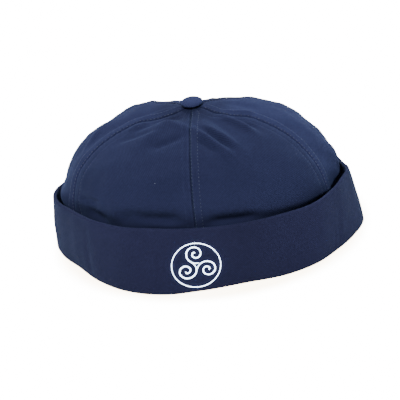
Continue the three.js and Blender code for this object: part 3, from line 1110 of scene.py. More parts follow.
@dataclass(frozen=True)
class Cuff:
    """The turned-up cuff: foot, outer wall, rim, inner wall, channel and facing, in one loop."""

    columns: int = 440
    wall_rows: int = 26
    inner_rows: int = 14
    cloth: float = 2.6
    foot_inset: float = 2.0
    foot_width: float = 3.8
    channel_floor: float = 2.6
    channel_width: float = 2.8
    facing_cloth: float = 1.5
    facing_depth: float = 2.0
    facing_bottom: float = 8.0
    facing_top: float = 17.4
    facing_crest: float = 0.5
    facing_foot: float = 0.6
    facing_rows: int = 5
    foot_rows: int = 4
    foot_arc_rows: int = 6
    rim_arc_rows: int = 8
    ripple: Ripple = Ripple(seed=5, wavelength=44.0, height=0.34)
    ripple_full: float = 0.35
    rim_ripple: Ripple = Ripple(seed=8, wavelength=60.0, height=0.3)
    lean_start: float = 0.3
    measured_height: float = 20.0
    rim_wear: float = 0.6
    rim_wear_width: float = 1.1
    foot_wear: float = 0.5
    foot_wear_width: float = 1.6

    def unevenness(self, azimuth: np.ndarray, height: np.ndarray) -> np.ndarray:
        """Gives how far the cuff's wall stands proud of its plain form.

        Args:
            azimuth: Degrees from the front.
            height: Height above the ground.

        Returns:
            The wall's ripples and creases at each place.
        """
        points = polar(FORM.cuff_radius(azimuth, height), azimuth, height)
        top = FORM.plan("height", azimuth)
        level = np.clip(height / top, 0.0, 1.0)
        total = self.ripple.at(points) * smooth_step(level, 0.0, self.ripple_full)
        out, _ = read_round(RIM_COLUMNS, RIM_ROWS, azimuth)
        total += out * smooth_step(level, self.lean_start, 1.0)
        for crease in (Crease(*row) for row in CREASE_ROWS):
            span = crease.high - crease.low
            place = crease.azimuth + crease.lean * (height - crease.low) / span
            turn = (azimuth - place + 180.0) % 360.0 - 180.0
            lateral = turn * RAD * FORM.cuff_radius(azimuth, height)
            along = (2.0 * height - crease.low - crease.high) / span
            total += crease.height * bell(lateral, crease.half_width) * np.exp(-(along**4))
        return total

    def wall(self, azimuth: np.ndarray, height: np.ndarray, inset: float) -> np.ndarray:
        """Gives points of the cuff's wall.

        Args:
            azimuth: Degrees from the front.
            height: Height above the ground.
            inset: Depth below the outer face.

        Returns:
            The wall's points.
        """
        proud = self.unevenness(azimuth, height)
        return polar(FORM.cuff_radius(azimuth, height) + proud - inset, azimuth, height)

    def outer_normal(self, azimuth: np.ndarray, height: np.ndarray) -> np.ndarray:
        """Gives the outward directions of the cuff's outer face.

        Args:
            azimuth: Degrees from the front.
            height: Height above the ground.

        Returns:
            The unit direction at each place.
        """
        turn, step = 0.25, 0.5
        across = self.wall(azimuth + turn, height, 0.0) - self.wall(azimuth - turn, height, 0.0)
        along = self.wall(azimuth, height + step, 0.0) - self.wall(azimuth, height - step, 0.0)
        return unit(np.cross(across, along))

    def facing(self, azimuth: np.ndarray, height: float, depth: float) -> np.ndarray:
        """Gives points of the facing.

        Args:
            azimuth: Degrees from the front.
            height: Height above the ground.
            depth: Depth inside the crown's outer face.

        Returns:
            The facing's points.
        """
        rise = (height - FORM.edge_height) / (FORM.belly_height - FORM.edge_height)
        share = np.full_like(azimuth, FORM.belly_share * rise)
        return FORM.crown(azimuth, share) - FORM.crown_normal(azimuth, share) * depth

    def section_rows(self, azimuth: np.ndarray) -> list[np.ndarray]:
        """Gives the rows of points that run round the cuff, in order round its section.

        Args:
            azimuth: The azimuths of the cuff's columns.

        Returns:
            The rows, from the foot up the outer wall, over the rim and back down to the foot.
        """
        foot = FORM.plan("foot", azimuth)
        waver = self.rim_ripple.at(polar(foot, azimuth, np.zeros_like(azimuth)))
        _, rise = read_round(RIM_COLUMNS, RIM_ROWS, azimuth)
        top = FORM.plan("height", azimuth) + waver + rise - FORM.rim_round
        bottom = np.full_like(azimuth, FORM.foot_round)
        rows = []
        for share in np.linspace(0.0, 1.0, self.foot_rows, endpoint=False):
            inset = self.foot_inset + self.foot_width * (1.0 - share)
            rows.append(polar(foot - inset, azimuth, np.zeros_like(azimuth)))
        for turn in np.linspace(0.0, math.pi / 2.0, self.foot_arc_rows, endpoint=False):
            radius = foot - self.foot_inset + self.foot_inset * math.sin(turn)
            rows.append(polar(radius, azimuth, bottom * (1.0 - math.cos(turn))))
        for share in np.linspace(0.0, 1.0, self.wall_rows, endpoint=False):
            rows.append(self.wall(azimuth, bottom + (top - bottom) * share, 0.0))
        shoulder = self.wall(azimuth, top, 0.0)
        rim = np.hypot(shoulder[:, 0], shoulder[:, 1]) - FORM.rim_round
        for turn in np.linspace(0.0, math.pi, self.rim_arc_rows, endpoint=False):
            lift = FORM.rim_round * math.sin(turn)
            rows.append(polar(rim + FORM.rim_round * math.cos(turn), azimuth, top + lift))
        floor = np.full_like(azimuth, self.channel_floor)
        for share in np.linspace(0.0, 1.0, self.inner_rows, endpoint=False):
            rows.append(self.wall(azimuth, top + (floor - top) * share, self.cloth))
        rows.append(self.wall(azimuth, floor, self.cloth))
        channel = foot - self.cloth - self.channel_width
        rows.append(polar(channel + self.channel_width / 2.0, azimuth, floor))
        rows.append(polar(channel, azimuth, floor))
        heights = np.linspace(self.facing_bottom, self.facing_top, self.facing_rows)
        inside = self.facing_depth + self.facing_cloth
        rows += [self.facing(azimuth, height, self.facing_depth) for height in heights]
        crest = self.facing_top + self.facing_crest
        rows.append(self.facing(azimuth, crest, (self.facing_depth + inside) / 2.0))
        rows += [self.facing(azimuth, height, inside) for height in heights[::-1]]
        rows.append(polar(channel - self.facing_cloth, azimuth, floor * self.facing_foot))
        return rows

    def build(self, finish: bpy.types.Material) -> None:
        """Makes the cuff as a grid that is moved onto its section and closed both ways.

        Args:
            finish: The cuff's twill.
        """
        azimuth = np.linspace(0.0, 360.0, self.columns + 1)
        loop = self.section_rows(azimuth)
        stack = np.stack([*loop, loop[0]])
        u = run_along(self.wall(azimuth, np.full_like(azimuth, self.measured_height), 0.0))
        rises = np.linalg.norm(np.diff(stack, axis=0), axis=-1).mean(axis=1)
        v = np.concatenate(([0.0], np.cumsum(rises)))
        heights = stack[..., 2]

        def surface(column: np.ndarray, row: np.ndarray) -> Cloth:
            """Gives the cuff's cloth.

            Args:
                column: The grid's column.
                row: The grid's row.

            Returns:
                Points, places on the flat cloth, creases and painted light.
            """
            cloth = np.stack([u[column], v[row]], axis=-1) * MM
            height = heights[row, column]
            rim = self.rim_wear * bell(height - heights.max(axis=0)[column], self.rim_wear_width)
            foot = self.foot_wear * bell(height, self.foot_wear_width)
            # Painted light and shade on the cuff, by azimuth
            (painted_light,) = read_round(CUFF_PAINTED_LIGHT_COLUMNS, CUFF_PAINTED_LIGHT_ROWS, azimuth[column])
            return stack[row, column], cloth, np.maximum(rim, foot), painted_light

        bm = woven_grid(np.arange(len(azimuth)), np.arange(len(stack)), surface)
        bmesh.ops.remove_doubles(bm, verts=bm.verts, dist=MERGE)
        bmesh.ops.recalc_face_normals(bm, faces=bm.faces)
        finish_piece("folded_cuff", bm, finish, ["cuff"])


@dataclass(frozen=True)
class CoveredButton:
    """The cloth-covered button on the peak, with its post and the plate inside the crown."""

    radius: float = 7.7
    height: float = 5.4
    dome: float = 2.9
    post_radius: float = 1.6
    plate_radius: float = 6.5
    plate_thickness: float = 0.9
    plate_round: float = 0.3
    under_spread: tuple[float, float] = (0.62, 0.86)
    under_drop: tuple[float, float] = (0.9, 0.75)
    brim_angle: float = 0.9
    brim_lift: float = 0.55
    brim_power: float = 0.3
    dome_power: float = 0.75
    arc_points: int = 18
    steps: int = 72
    pleats: int = 14
    pleat_height: float = 0.13
    pleat_start: float = 0.6
    worn_spread: float = 0.9
    wear: float = 0.25
    # Painted highlight: a factor that brightens the button's twill colour
    painted_light: float = 1.5

    def profile(self, base: float, top: float) -> list[tuple[float, float]]:
        """Gives the button's half outline, from the plate's middle to the dome's middle.

        Args:
            base: Height of the plate's lower face.
            top: Height of the dome's middle.

        Returns:
            Pairs of radius and height.
        """
        seat = top - self.height
        brim = top - self.dome
        outline = [
            (0.0, base),
            (self.plate_radius - self.plate_round, base),
            (self.plate_radius, base + self.plate_round),
            (self.plate_radius, base + self.plate_thickness),
            (self.post_radius, base + self.plate_thickness),
            (self.post_radius, seat),
        ]
        for spread, drop in zip(self.under_spread, self.under_drop):
            outline.append((self.radius * spread, brim - drop))
        over, under = (self.dome_power, self.dome), (self.brim_power, self.brim_lift)
        for turn in np.linspace(-self.brim_angle, math.pi / 2.0, self.arc_points):
            power, lift = over if turn > 0 else under
            outline.append((self.radius * math.cos(turn) ** power, brim + lift * math.sin(turn)))
        outline[-1] = (0.0, top)
        return outline

    def build(self, finish: bpy.types.Material) -> None:
        """Makes the button by spinning its outline round the peak's axis.

        Args:
            finish: The crown's twill.
        """
        low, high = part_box("button")
        bm = bmesh.new()
        uv_layer, crease_layer, painted_light_layer = cloth_layers(bm)
        outline = self.profile(low[2] / MM, high[2] / MM)
        places = [PLACE.metres((FORM.apex_x + r, FORM.apex_y, z)) for r, z in outline]
        verts = [bm.verts.new(place) for place in places]
        edges = [bm.edges.new(pair) for pair in zip(verts, verts[1:])]
        centre = Vector(PLACE.metres((FORM.apex_x, FORM.apex_y, 0.0)))
        bmesh.ops.spin(
            bm,
            geom=verts + edges,
            cent=centre,
            axis=(0.0, 0.0, 1.0),
            angle=2.0 * math.pi,
            steps=self.steps,
            use_merge=True,
        )
        bmesh.ops.remove_doubles(bm, verts=bm.verts, dist=MERGE)
        bmesh.ops.recalc_face_normals(bm, faces=bm.faces)
        seat = high[2] - self.height * MM
        for vert in bm.verts:
            reach = vert.co - centre
            turn = math.atan2(reach.y, reach.x)
            away = math.hypot(reach.x, reach.y)
            spread = away / (self.radius * MM)
            if vert.co.z > seat and spread > self.pleat_start:
                gather = float(smooth_step(np.array(spread), self.pleat_start, 1.0))
                pull = 1.0 + gather * self.pleat_height * MM * math.cos(self.pleats * turn) / away
                vert.co.x = centre.x + reach.x * pull
                vert.co.y = centre.y + reach.y * pull
            vert[crease_layer] = self.wear if spread > self.worn_spread else 0.0
            vert[painted_light_layer] = self.painted_light
        for face in bm.faces:
            face.smooth = True
            for loop in face.loops:
                loop[uv_layer].uv = (loop.vert.co - centre).xy
        finish_piece("covered_button", bm, finish, ["button"])


@dataclass(frozen=True)
class Embroidery:
    """The satin-stitched ring and triskele on the front of the cuff."""

    cuff: Cuff
    azimuth: float = -0.9
    height: float = 20.6
    ring_radius: float = 16.25
    ring_stroke: float = 0.49
    spiral_stroke: float = 0.76
    spiral_start: float = 0.9
    spiral_growth: float = 6.1 / 560.0
    spiral_samples: int = 600
    heart_taper: float = 0.2
    heart_end: float = 0.1
    tail_taper: float = 0.42
    tail_start: float = 0.84
    pitch: float = 0.34
    strand: Strand = Strand(thickness=0.46, sides=6, rings=8)
    rise: float = 0.66
    sag: float = 0.45
    slant: float = 0.16
    step: float = 0.2
    shortest: float = 0.85
    longest: float = 1.4
    wander: float = 0.06
    lift_wander: float = 0.03
    pad_sides: int = 8
    pad_share: float = 0.4
    pad_rise: float = 0.1
    pad_height: float = 0.34
    pad_every: int = 2
    seed: int = 41

    def place(self, x: np.ndarray, y: np.ndarray) -> tuple[np.ndarray, np.ndarray]:
        """Lays places of the flat drawing onto the cuff.

        Args:
            x: Distance to the right of the ring's centre.
            y: Distance above the ring's centre.

        Returns:
            Points of the cuff's outer face and its outward directions there.
        """
        height = self.height + np.asarray(y, float)
        turn = self.azimuth + np.asarray(x, float) / FORM.cuff_radius(self.azimuth, height) / RAD
        return self.cuff.wall(turn, height, 0.0), self.cuff.outer_normal(turn, height)

    def ring_path(self) -> np.ndarray:
        """Gives the ring's closed path.

        Returns:
            The path's x, y and stroke width.
        """
        count = int(2.0 * math.pi * self.ring_radius / self.pitch)
        turn = np.arange(count) * 2.0 * math.pi / count
        x, y = self.ring_radius * np.cos(turn), self.ring_radius * np.sin(turn)
        return np.stack([x, y, np.full(count, self.ring_stroke)], axis=-1)

    def spiral_path(self, arm: Arm) -> np.ndarray:
        """Gives the path of one arm, an even spiral from its heart to a narrow tail.

        Args:
            arm: Where the arm lies and how far it turns.

        Returns:
            The path's x, y and stroke width.
        """
        share = np.linspace(0.0, 1.0, self.spiral_samples)
        radius = self.spiral_start + self.spiral_growth * arm.sweep * share
        turn = (arm.start + arm.sweep * share) * RAD
        line = np.stack([arm.x + radius * np.cos(turn), arm.y + radius * np.sin(turn)], axis=-1)
        tail = self.tail_taper * smooth_step(share, self.tail_start, 1.0)
        heart = self.heart_taper * (1.0 - smooth_step(share, 0.0, self.heart_end))
        width = self.spiral_stroke * (1.0 - tail - heart)
        run = run_along(line)
        marks = np.arange(0.0, run[-1], self.pitch)
        return np.stack([np.interp(marks, run, values) for values in (*line.T, width)], axis=-1)

    @staticmethod
    def tangents(path: np.ndarray, closed: bool) -> np.ndarray:
        """Gives the directions along a path.

        Args:
            path: The path's x, y and stroke width.
            closed: Whether the path's end meets its start.

        Returns:
            The unit direction at each place.
        """
        flat = path[:, :2]
        if closed:
            return unit(np.roll(flat, -1, axis=0) - np.roll(flat, 1, axis=0))
        return unit(np.gradient(flat, axis=0))

    def stitch(self, name: str, path: np.ndarray, closed: bool, finish: bpy.types.Material) -> None:
        """Covers a path with satin stitches, side by side across the stroke.

        Args:
            name: The name of the solid that the stitches stand for, without its prefix.
            path: The path's x, y and stroke width.
            closed: Whether the path's end meets its start.
            finish: The white thread.
        """
        draw = np.random.default_rng(self.seed + len(path))
        count = len(path)
        tangent = self.tangents(path, closed)
        across = unit(np.stack([-tangent[:, 1], tangent[:, 0]], axis=-1) + self.slant * tangent)
        centre = path[:, :2] + across * draw.normal(0.0, self.wander, (count, 1))
        middle, normal = self.place(*centre.T)
        ahead, _ = self.place(*(centre + across * self.step).T)
        behind, _ = self.place(*(centre - across * self.step).T)
        length = path[:, 2] * draw.uniform(self.shortest, self.longest, count)
        lift = self.rise - self.strand.thickness / 2.0 + draw.normal(0.0, self.lift_wander, count)
        bm = bmesh.new()
        for row in zip(middle + normal * lift[:, None], ahead - behind, normal, length):
            self.strand.add(bm, *row, self.sag)
        self.pad(bm, path[:: self.pad_every], closed)
        finish_piece(f"satin_{name}", bm, finish, [f"emblem_{name}"])

    def pad(self, bm: bmesh.types.BMesh, path: np.ndarray, closed: bool) -> None:
        """Adds the underlay that the satin stitches cover, a low rounded bar along the path.

        Args:
            bm: The mesh that takes the bar.
            path: The path's x, y and stroke width.
            closed: Whether the path's end meets its start.
        """
        tangent = self.tangents(path, closed)[:, None, :]
        turn = 2.0 * math.pi * np.arange(self.pad_sides) / self.pad_sides
        reach = path[:, 2, None] * self.pad_share * np.cos(turn)
        x = path[:, 0, None] - tangent[..., 1] * reach
        y = path[:, 1, None] + tangent[..., 0] * reach
        points, normals = self.place(x, y)
        lift = self.pad_rise + self.pad_height * np.sin(turn)
        rings = []
        for ring in PLACE.metres(points + normals * lift[:, None]):
            verts = [bm.verts.new(point) for point in ring]
            rings.append([bm.edges.new(pair) for pair in zip(verts, verts[1:] + verts[:1])])
        pairs = list(zip(rings, rings[1:]))
        if closed:
            pairs.append((rings[-1], rings[0]))
        made = []
        for first, second in pairs:
            made += bmesh.ops.bridge_loops(bm, edges=first + second)["faces"]
        if not closed:
            made += bmesh.ops.holes_fill(bm, edges=rings[0], sides=0)["faces"]
            made += bmesh.ops.holes_fill(bm, edges=rings[-1], sides=0)["faces"]
        bmesh.ops.recalc_face_normals(bm, faces=made)

    def build(self, finish: bpy.types.Material) -> None:
        """Stitches the ring and the three arms.

        Args:
            finish: The white thread.
        """
        self.stitch("ring", self.ring_path(), True, finish)
        for arm in (Arm(*row) for row in ARM_ROWS):
            self.stitch(f"spiral_{arm.name}", self.spiral_path(arm), False, finish)


class Graph:
    """Places and joins the nodes of one node tree."""

    def __init__(self, tree: bpy.types.NodeTree) -> None:
        """Takes the tree that the nodes go into."""
        self.tree = tree

    def node(self, kind: str, **inputs: object) -> bpy.types.Node:
        """Adds a node.

        Args:
            kind: The node's type.
            inputs: Values or sockets by input name, with _ for a space.

        Returns:
            The new node.
        """
        made = self.tree.nodes.new(kind)
        for name, value in inputs.items():
            self.feed(made.inputs[name.replace("_", " ")], value)
        return made

    def feed(self, socket: bpy.types.NodeSocket, value: object) -> None:
        """Sets an input to a value, or links it if the value is a socket."""
        if isinstance(value, bpy.types.NodeSocket):
            self.tree.links.new(value, socket)
        else:
            socket.default_value = value

    def math(self, operation: str, *values: object) -> bpy.types.NodeSocket:
        """Adds a math node.

        Args:
            operation: The operation's name.
            values: Numbers or sockets, in order.

        Returns:
            The result's socket.
        """
        made = self.tree.nodes.new("ShaderNodeMath")
        made.operation = operation
        for socket, value in zip(made.inputs, values):
            self.feed(socket, value)
        return made.outputs[0]

    def scale(self, colour: bpy.types.NodeSocket, factor: object) -> bpy.types.NodeSocket:
        """Multiplies a colour by a number.

        Args:
            colour: The colour's socket.
            factor: The number or its socket.

        Returns:
            The new colour's socket.
        """
        made = self.tree.nodes.new("ShaderNodeVectorMath")
        made.operation = "SCALE"
        self.feed(made.inputs["Vector"], colour)
        self.feed(made.inputs["Scale"], factor)
        return made.outputs["Vector"]

    def ramp(self, value: object, low: float, high: float) -> bpy.types.NodeSocket:
        """Maps a range to 0 to 1, smoothly and clamped.

        Args:
            value: The socket that is mapped.
            low: What becomes 0.
            high: What becomes 1.

        Returns:
            The mapped value's socket.
        """
        made = self.tree.nodes.new("ShaderNodeMapRange")
        made.interpolation_type = "SMOOTHSTEP"
        for name, number in (("Value", value), ("From Min", low), ("From Max", high)):
            self.feed(made.inputs[name], number)
        return made.outputs["Result"]

    def mix(self, factor: object, first: object, second: object) -> bpy.types.NodeSocket:
        """Mixes two colours.

        Args:
            factor: Share of the second colour.
            first: The first colour or its socket.
            second: The second colour or its socket.

        Returns:
            The mixed colour's socket.
        """
        made = self.tree.nodes.new("ShaderNodeMix")
        made.data_type = "RGBA"
        self.feed(made.inputs[0], factor)
        self.feed(made.inputs[6], first)
        self.feed(made.inputs[7], second)
        return made.outputs[2]

    def group(self, shared: bpy.types.NodeTree, **inputs: object) -> bpy.types.NodeSocket:
        """Places a shared node group.

        Args:
            shared: The group.
            inputs: Values or sockets by input name.

        Returns:
            The group's output.
        """
        made = self.tree.nodes.new("ShaderNodeGroup")
        made.node_tree = shared
        for name, value in inputs.items():
            self.feed(made.inputs[name], value)
        return made.outputs[0]

    def attribute(self, layer: str) -> bpy.types.NodeSocket:
        """Reads a piece's own vertex values.

        Args:
            layer: The values' name.

        Returns:
            The values' socket.
        """
        made = self.tree.nodes.new("ShaderNodeAttribute")
        made.attribute_name = layer
        return made.outputs["Fac"]

    def bump(self, height: object, strength: float, distance: float) -> bpy.types.NodeSocket:
        """Turns a height into a normal.

        Args:
            height: The height's socket.
            strength: How strongly the height shows, from 0 to 1.
            distance: What a height of 1 is, in metres.

        Returns:
            The normal's socket.
        """
        made = self.node("ShaderNodeBump", Strength=strength, Distance=distance, Height=height)
        return made.outputs["Normal"]


def rgba(colour: Sequence[float]) -> tuple[float, ...]:
    """Gives a colour with full alpha."""
    return (*colour, 1.0)


def new_material(name: str) -> tuple[bpy.types.Material, Graph, bpy.types.Node]:
    """Starts a material.

    Args:
        name: The material's name.

    Returns:
        The material, its graph and its shader.
    """
    material = bpy.data.materials.new(name)
    material.use_nodes = True
    tree = material.node_tree
    return material, Graph(tree), tree.nodes["Principled BSDF"]


def new_group(
    name: str, output: str, **inputs: float
) -> tuple[bpy.types.NodeTree, Graph, dict[str, bpy.types.NodeSocket], bpy.types.NodeSocket]:
    """Starts a shader node group with a vector, more named inputs and one output.

    Args:
        name: The group's name.
        output: The name of the value that it gives.
        inputs: Default values by input name.

    Returns:
        The group, its graph, its inputs by name and its output.
    """
    tree = bpy.data.node_groups.new(name, "ShaderNodeTree")
    tree.interface.new_socket("Vector", in_out="INPUT", socket_type="NodeSocketVector")
    for title, value in inputs.items():
        socket = tree.interface.new_socket(title, in_out="INPUT", socket_type="NodeSocketFloat")
        socket.default_value = value
    tree.interface.new_socket(output, in_out="OUTPUT", socket_type="NodeSocketFloat")
    graph = Graph(tree)
    source = graph.node("NodeGroupInput").outputs
    given = {title: source[title] for title in ("Vector", *inputs)}
    return tree, graph, given, graph.node("NodeGroupOutput").inputs[output]


def twill_group() -> bpy.types.NodeTree:
    """Makes the twill weave: slanted ribs, broken where the threads cross.

    Returns:
        The group, which gives the weave's height.
    """
    tree, graph, given, height = new_group("twill_weave", "Height", Pitch=0.8, Waver=0.2)
    waver_scale, waver_turns = 260.0, 6.0
    rib_slope, threads_per_rib = 0.8, 1.7
    lowest_thread, thread_height = 0.75, 0.25
    noise = graph.node("ShaderNodeTexNoise", Vector=given["Vector"], Scale=waver_scale, Detail=2.0)
    waver = graph.math("SUBTRACT", noise.outputs[0], 0.5)
    waver = graph.math("MULTIPLY", waver, given["Waver"])
    parts = graph.node("ShaderNodeSeparateXYZ", Vector=given["Vector"]).outputs
    turns = graph.math("DIVIDE", 2.0 * math.pi / MM, given["Pitch"])
    rib = graph.math("MULTIPLY_ADD", parts[1], rib_slope, parts[0])
    rib = graph.math("MULTIPLY_ADD", rib, turns, graph.math("MULTIPLY", waver, waver_turns))
    rib = graph.math("MULTIPLY_ADD", graph.math("SINE", rib), 0.5, 0.5)
    thread = graph.math("MULTIPLY", graph.math("SUBTRACT", parts[1], parts[0]), turns)
    thread = graph.math("SINE", graph.math("MULTIPLY", thread, threads_per_rib))
    broken = graph.math("MULTIPLY_ADD", thread, thread_height, lowest_thread)
    graph.feed(height, graph.math("MULTIPLY", rib, broken))
    return tree


def mottle_group() -> bpy.types.NodeTree:
    """Makes the cloth's uneven dye: broad clouds and fine grain.

    Returns:
        The group, which gives a factor from 0 to 1.
    """
    tree, graph, given, factor = new_group("dye_mottle", "Factor", Cloud=30.0, Grain=900.0)
    cloud_share, low, high = 0.55, 0.3, 0.7
    noises = (
        graph.node("ShaderNodeTexNoise", Vector=given["Vector"], Scale=given[title], Detail=detail)
        for title, detail in (("Cloud", 3.0), ("Grain", 2.0))
    )
    broad, fine = (graph.ramp(noise.outputs[0], low, high) for noise in noises)
    clouds = graph.math("MULTIPLY", broad, cloud_share)
    graph.feed(factor, graph.math("MULTIPLY_ADD", fine, 1.0 - cloud_share, clouds))
    return tree


def lint_group() -> bpy.types.NodeTree:
    """Makes sparse specks of lint.

    Returns:
        The group, which gives a mask of the specks.
    """
    tree, graph, given, mask = new_group("lint_specks", "Mask", Scale=120.0, Size=0.026, Share=0.05)
    cells = graph.node("ShaderNodeTexVoronoi", Vector=given["Vector"], Scale=given["Scale"])
    near = graph.math("LESS_THAN", cells.outputs["Distance"], given["Size"])
    picked = graph.node("ShaderNodeSeparateColor", Color=cells.outputs["Color"])
    rare = graph.math("LESS_THAN", picked.outputs[0], given["Share"])
    graph.feed(mask, graph.math("MULTIPLY", near, rare))
    return tree


def wear_group() -> bpy.types.NodeTree:
    """Makes the worn look of folds and edges, broken up by noise.

    Returns:
        The group, which gives a mask of the wear.
    """
    tree, graph, given, mask = new_group("fold_wear", "Mask", Crease=0.0, Amount=0.5)
    noise_scale, low, high = 420.0, 0.25, 0.75
    noise = graph.node("ShaderNodeTexNoise", Vector=given["Vector"], Scale=noise_scale, Detail=3.0)
    broken = graph.math("MULTIPLY", given["Crease"], graph.ramp(noise.outputs[0], low, high))
    graph.feed(mask, graph.math("MULTIPLY", broken, given["Amount"]))
    return tree


@dataclass(frozen=True)
class TwillFinish:
    """Navy cotton twill: deep dye with a soft bloom, slanted ribs and a little lint."""

    name: str
    deep: tuple[float, float, float]
    pale: tuple[float, float, float]
    worn: tuple[float, float, float]
    lint: tuple[float, float, float] = (0.22, 0.25, 0.32)
    roughness: float = 0.9
    uneven_roughness: float = 0.08
    sheen: float = 0.09
    sheen_roughness: float = 0.45
    sheen_tint: tuple[float, float, float] = (0.34, 0.5, 1.0)
    specular: float = 0.06
    pitch: float = 1.35
    weave_height: float = 0.0002
    weave_strength: float = 0.7
    weave_dark: float = 0.45
    weave_contrast: float = 0.8
    dark_share: float = 0.35
    wear: float = 0.35

    def build(self, groups: dict[str, bpy.types.NodeTree]) -> bpy.types.Material:
        """Makes the material.

        Args:
            groups: The shared node groups by name.

        Returns:
            The finished material.
        """
        material, graph, shader = new_material(self.name)
        cloth = graph.node("ShaderNodeUVMap")
        cloth.uv_map = UV_LAYER
        place = graph.node("ShaderNodeTexCoord").outputs["Object"]
        weave = graph.group(groups["twill_weave"], Vector=cloth.outputs["UV"], Pitch=self.pitch)
        mottle = graph.group(groups["dye_mottle"], Vector=place)
        lint = graph.group(groups["lint_specks"], Vector=place)
        crease = graph.attribute(CREASE_LAYER)
        wear = graph.group(groups["fold_wear"], Vector=place, Crease=crease, Amount=self.wear)
        colour = graph.mix(mottle, rgba(self.deep), rgba(self.pale))
        shade = graph.math("MULTIPLY_ADD", weave, self.weave_contrast, self.weave_dark)
        dark = graph.mix(self.dark_share, rgba(self.deep), rgba((0.0, 0.0, 0.0)))
        colour = graph.mix(shade, dark, colour)
        colour = graph.mix(wear, colour, rgba(self.worn))
        # Painted light and shade: the colour is scaled by each piece's painted light values
        colour = graph.scale(colour, graph.attribute(PAINTED_LIGHT_LAYER))
        graph.feed(shader.inputs["Base Color"], graph.mix(lint, colour, rgba(self.lint)))
        rough = graph.math("MULTIPLY_ADD", mottle, self.uneven_roughness, self.roughness)
        graph.feed(shader.inputs["Roughness"], rough)
        shader.inputs["Sheen Weight"].default_value = self.sheen
        shader.inputs["Sheen Roughness"].default_value = self.sheen_roughness
        shader.inputs["Sheen Tint"].default_value = rgba(self.sheen_tint)
        shader.inputs["Specular IOR Level"].default_value = self.specular
        normal = graph.bump(weave, self.weave_strength, self.weave_height)
        graph.feed(shader.inputs["Normal"], normal)
        return material


@dataclass(frozen=True)
class ThreadFinish:
    """Sewing or embroidery thread: a soft sheen and the fine grain of its twist.

    Real thread has no glow. It lifts the white thread to the white of an overexposed photo.
    """

    name: str
    deep: tuple[float, float, float]
    pale: tuple[float, float, float]
    roughness: float = 0.5
    sheen: float = 0.1
    glow: float = 0.0
    cloud: float = 160.0
    grain: float = 2600.0
    grain_height: float = 0.00005
    grain_strength: float = 0.5

    def build(self, groups: dict[str, bpy.types.NodeTree]) -> bpy.types.Material:
        """Makes the material.

        Args:
            groups: The shared node groups by name.

        Returns:
            The finished material.
        """
        material, graph, shader = new_material(self.name)
        place = graph.node("ShaderNodeTexCoord").outputs["Object"]
        mottle = graph.group(groups["dye_mottle"], Vector=place, Cloud=self.cloud, Grain=self.grain)
        colour = graph.mix(mottle, rgba(self.deep), rgba(self.pale))
        graph.feed(shader.inputs["Base Color"], colour)
        shader.inputs["Roughness"].default_value = self.roughness
        shader.inputs["Sheen Weight"].default_value = self.sheen
        shader.inputs["Emission Color"].default_value = rgba(self.pale)
        shader.inputs["Emission Strength"].default_value = self.glow
        normal = graph.bump(mottle, self.grain_strength, self.grain_height)
        graph.feed(shader.inputs["Normal"], normal)
        return material


CROWN_TWILL = TwillFinish(
    "crown_twill_navy",
    deep=(0.0139, 0.0165, 0.0468),
    pale=(0.0188, 0.0226, 0.0606),
    worn=(0.0314, 0.0386, 0.0944),
)
CUFF_TWILL = TwillFinish(
    "cuff_twill_navy",
    deep=(0.0132, 0.0141, 0.0399),
    pale=(0.0175, 0.0187, 0.0511),
    worn=(0.0288, 0.0327, 0.0764),
)
NAVY_THREAD = ThreadFinish(
    "navy_sewing_thread",
    deep=(0.021, 0.027, 0.062),
    pale=(0.04, 0.051, 0.104),
    roughness=0.7,
)
WHITE_THREAD = ThreadFinish(
    "white_embroidery_thread",
    deep=(0.72, 0.79, 0.92),
    pale=(0.7, 0.83, 1.0),
    glow=7.5,
)


@dataclass(frozen=True)
class Viewpoint:
    """The camera of the photo: a long lens, a little above the cap, and tipped."""

    elevation: float = 27.0
    azimuth: float = 7.1
    roll: float = 7.8
    distance: float = 1272.0
    aim_height: float = 47.7
    drop: float = 22.61
    left: float = 1.34
    lens: float = 163.1
    sensor: float = 36.0
    clip: tuple[float, float] = (0.01, 20.0)

    def build(self) -> None:
        """Makes the camera and sets it as the scene's own."""
        azimuth, roll = self.azimuth * RAD, self.roll * RAD
        back = towards(self.azimuth, self.elevation)
        right = Vector((math.cos(azimuth), math.sin(azimuth), 0.0))
        up = back.cross(right)
        tipped_right = right * math.cos(roll) - up * math.sin(roll)
        tipped_up = right * math.sin(roll) + up * math.cos(roll)
        aim = Vector((0.0, 0.0, self.aim_height))
        eye = aim + back * self.distance
        aim = aim - tipped_up * self.drop - tipped_right * self.left
        back = (eye - aim).normalized()
        tipped_right = (tipped_right - back * tipped_right.dot(back)).normalized()
        tipped_up = back.cross(tipped_right)
        turn = Matrix((tipped_right, tipped_up, back)).transposed().to_4x4()
        data = bpy.data.cameras.new("photo_camera")
        data.lens = self.lens
        data.sensor_width = self.sensor
        data.clip_start, data.clip_end = self.clip
        camera = add_object("photo_camera", data)
        camera.matrix_world = Matrix.Translation(Vector(PLACE.metres(eye))) @ turn
        bpy.context.scene.camera = camera


@dataclass(frozen=True)
class SoftLight:
    """A broad studio light that faces the cap."""

    name: str
    azimuth: float
    elevation: float
    distance: float
    size: float
    power: float
    colour: tuple[float, float, float] = (1.0, 1.0, 1.0)

    def build(self) -> None:
        """Makes the light at its place round the cap."""
        data = bpy.data.lights.new(self.name, "AREA")
        data.shape = "SQUARE"
        data.size = self.size
        data.energy = self.power
        data.color = self.colour
        back = towards(self.azimuth, self.elevation)
        light = add_object(self.name, data)
        light.location = back * self.distance
        light.rotation_mode = "QUATERNION"
        light.rotation_quaternion = back.to_track_quat("Z", "Y")


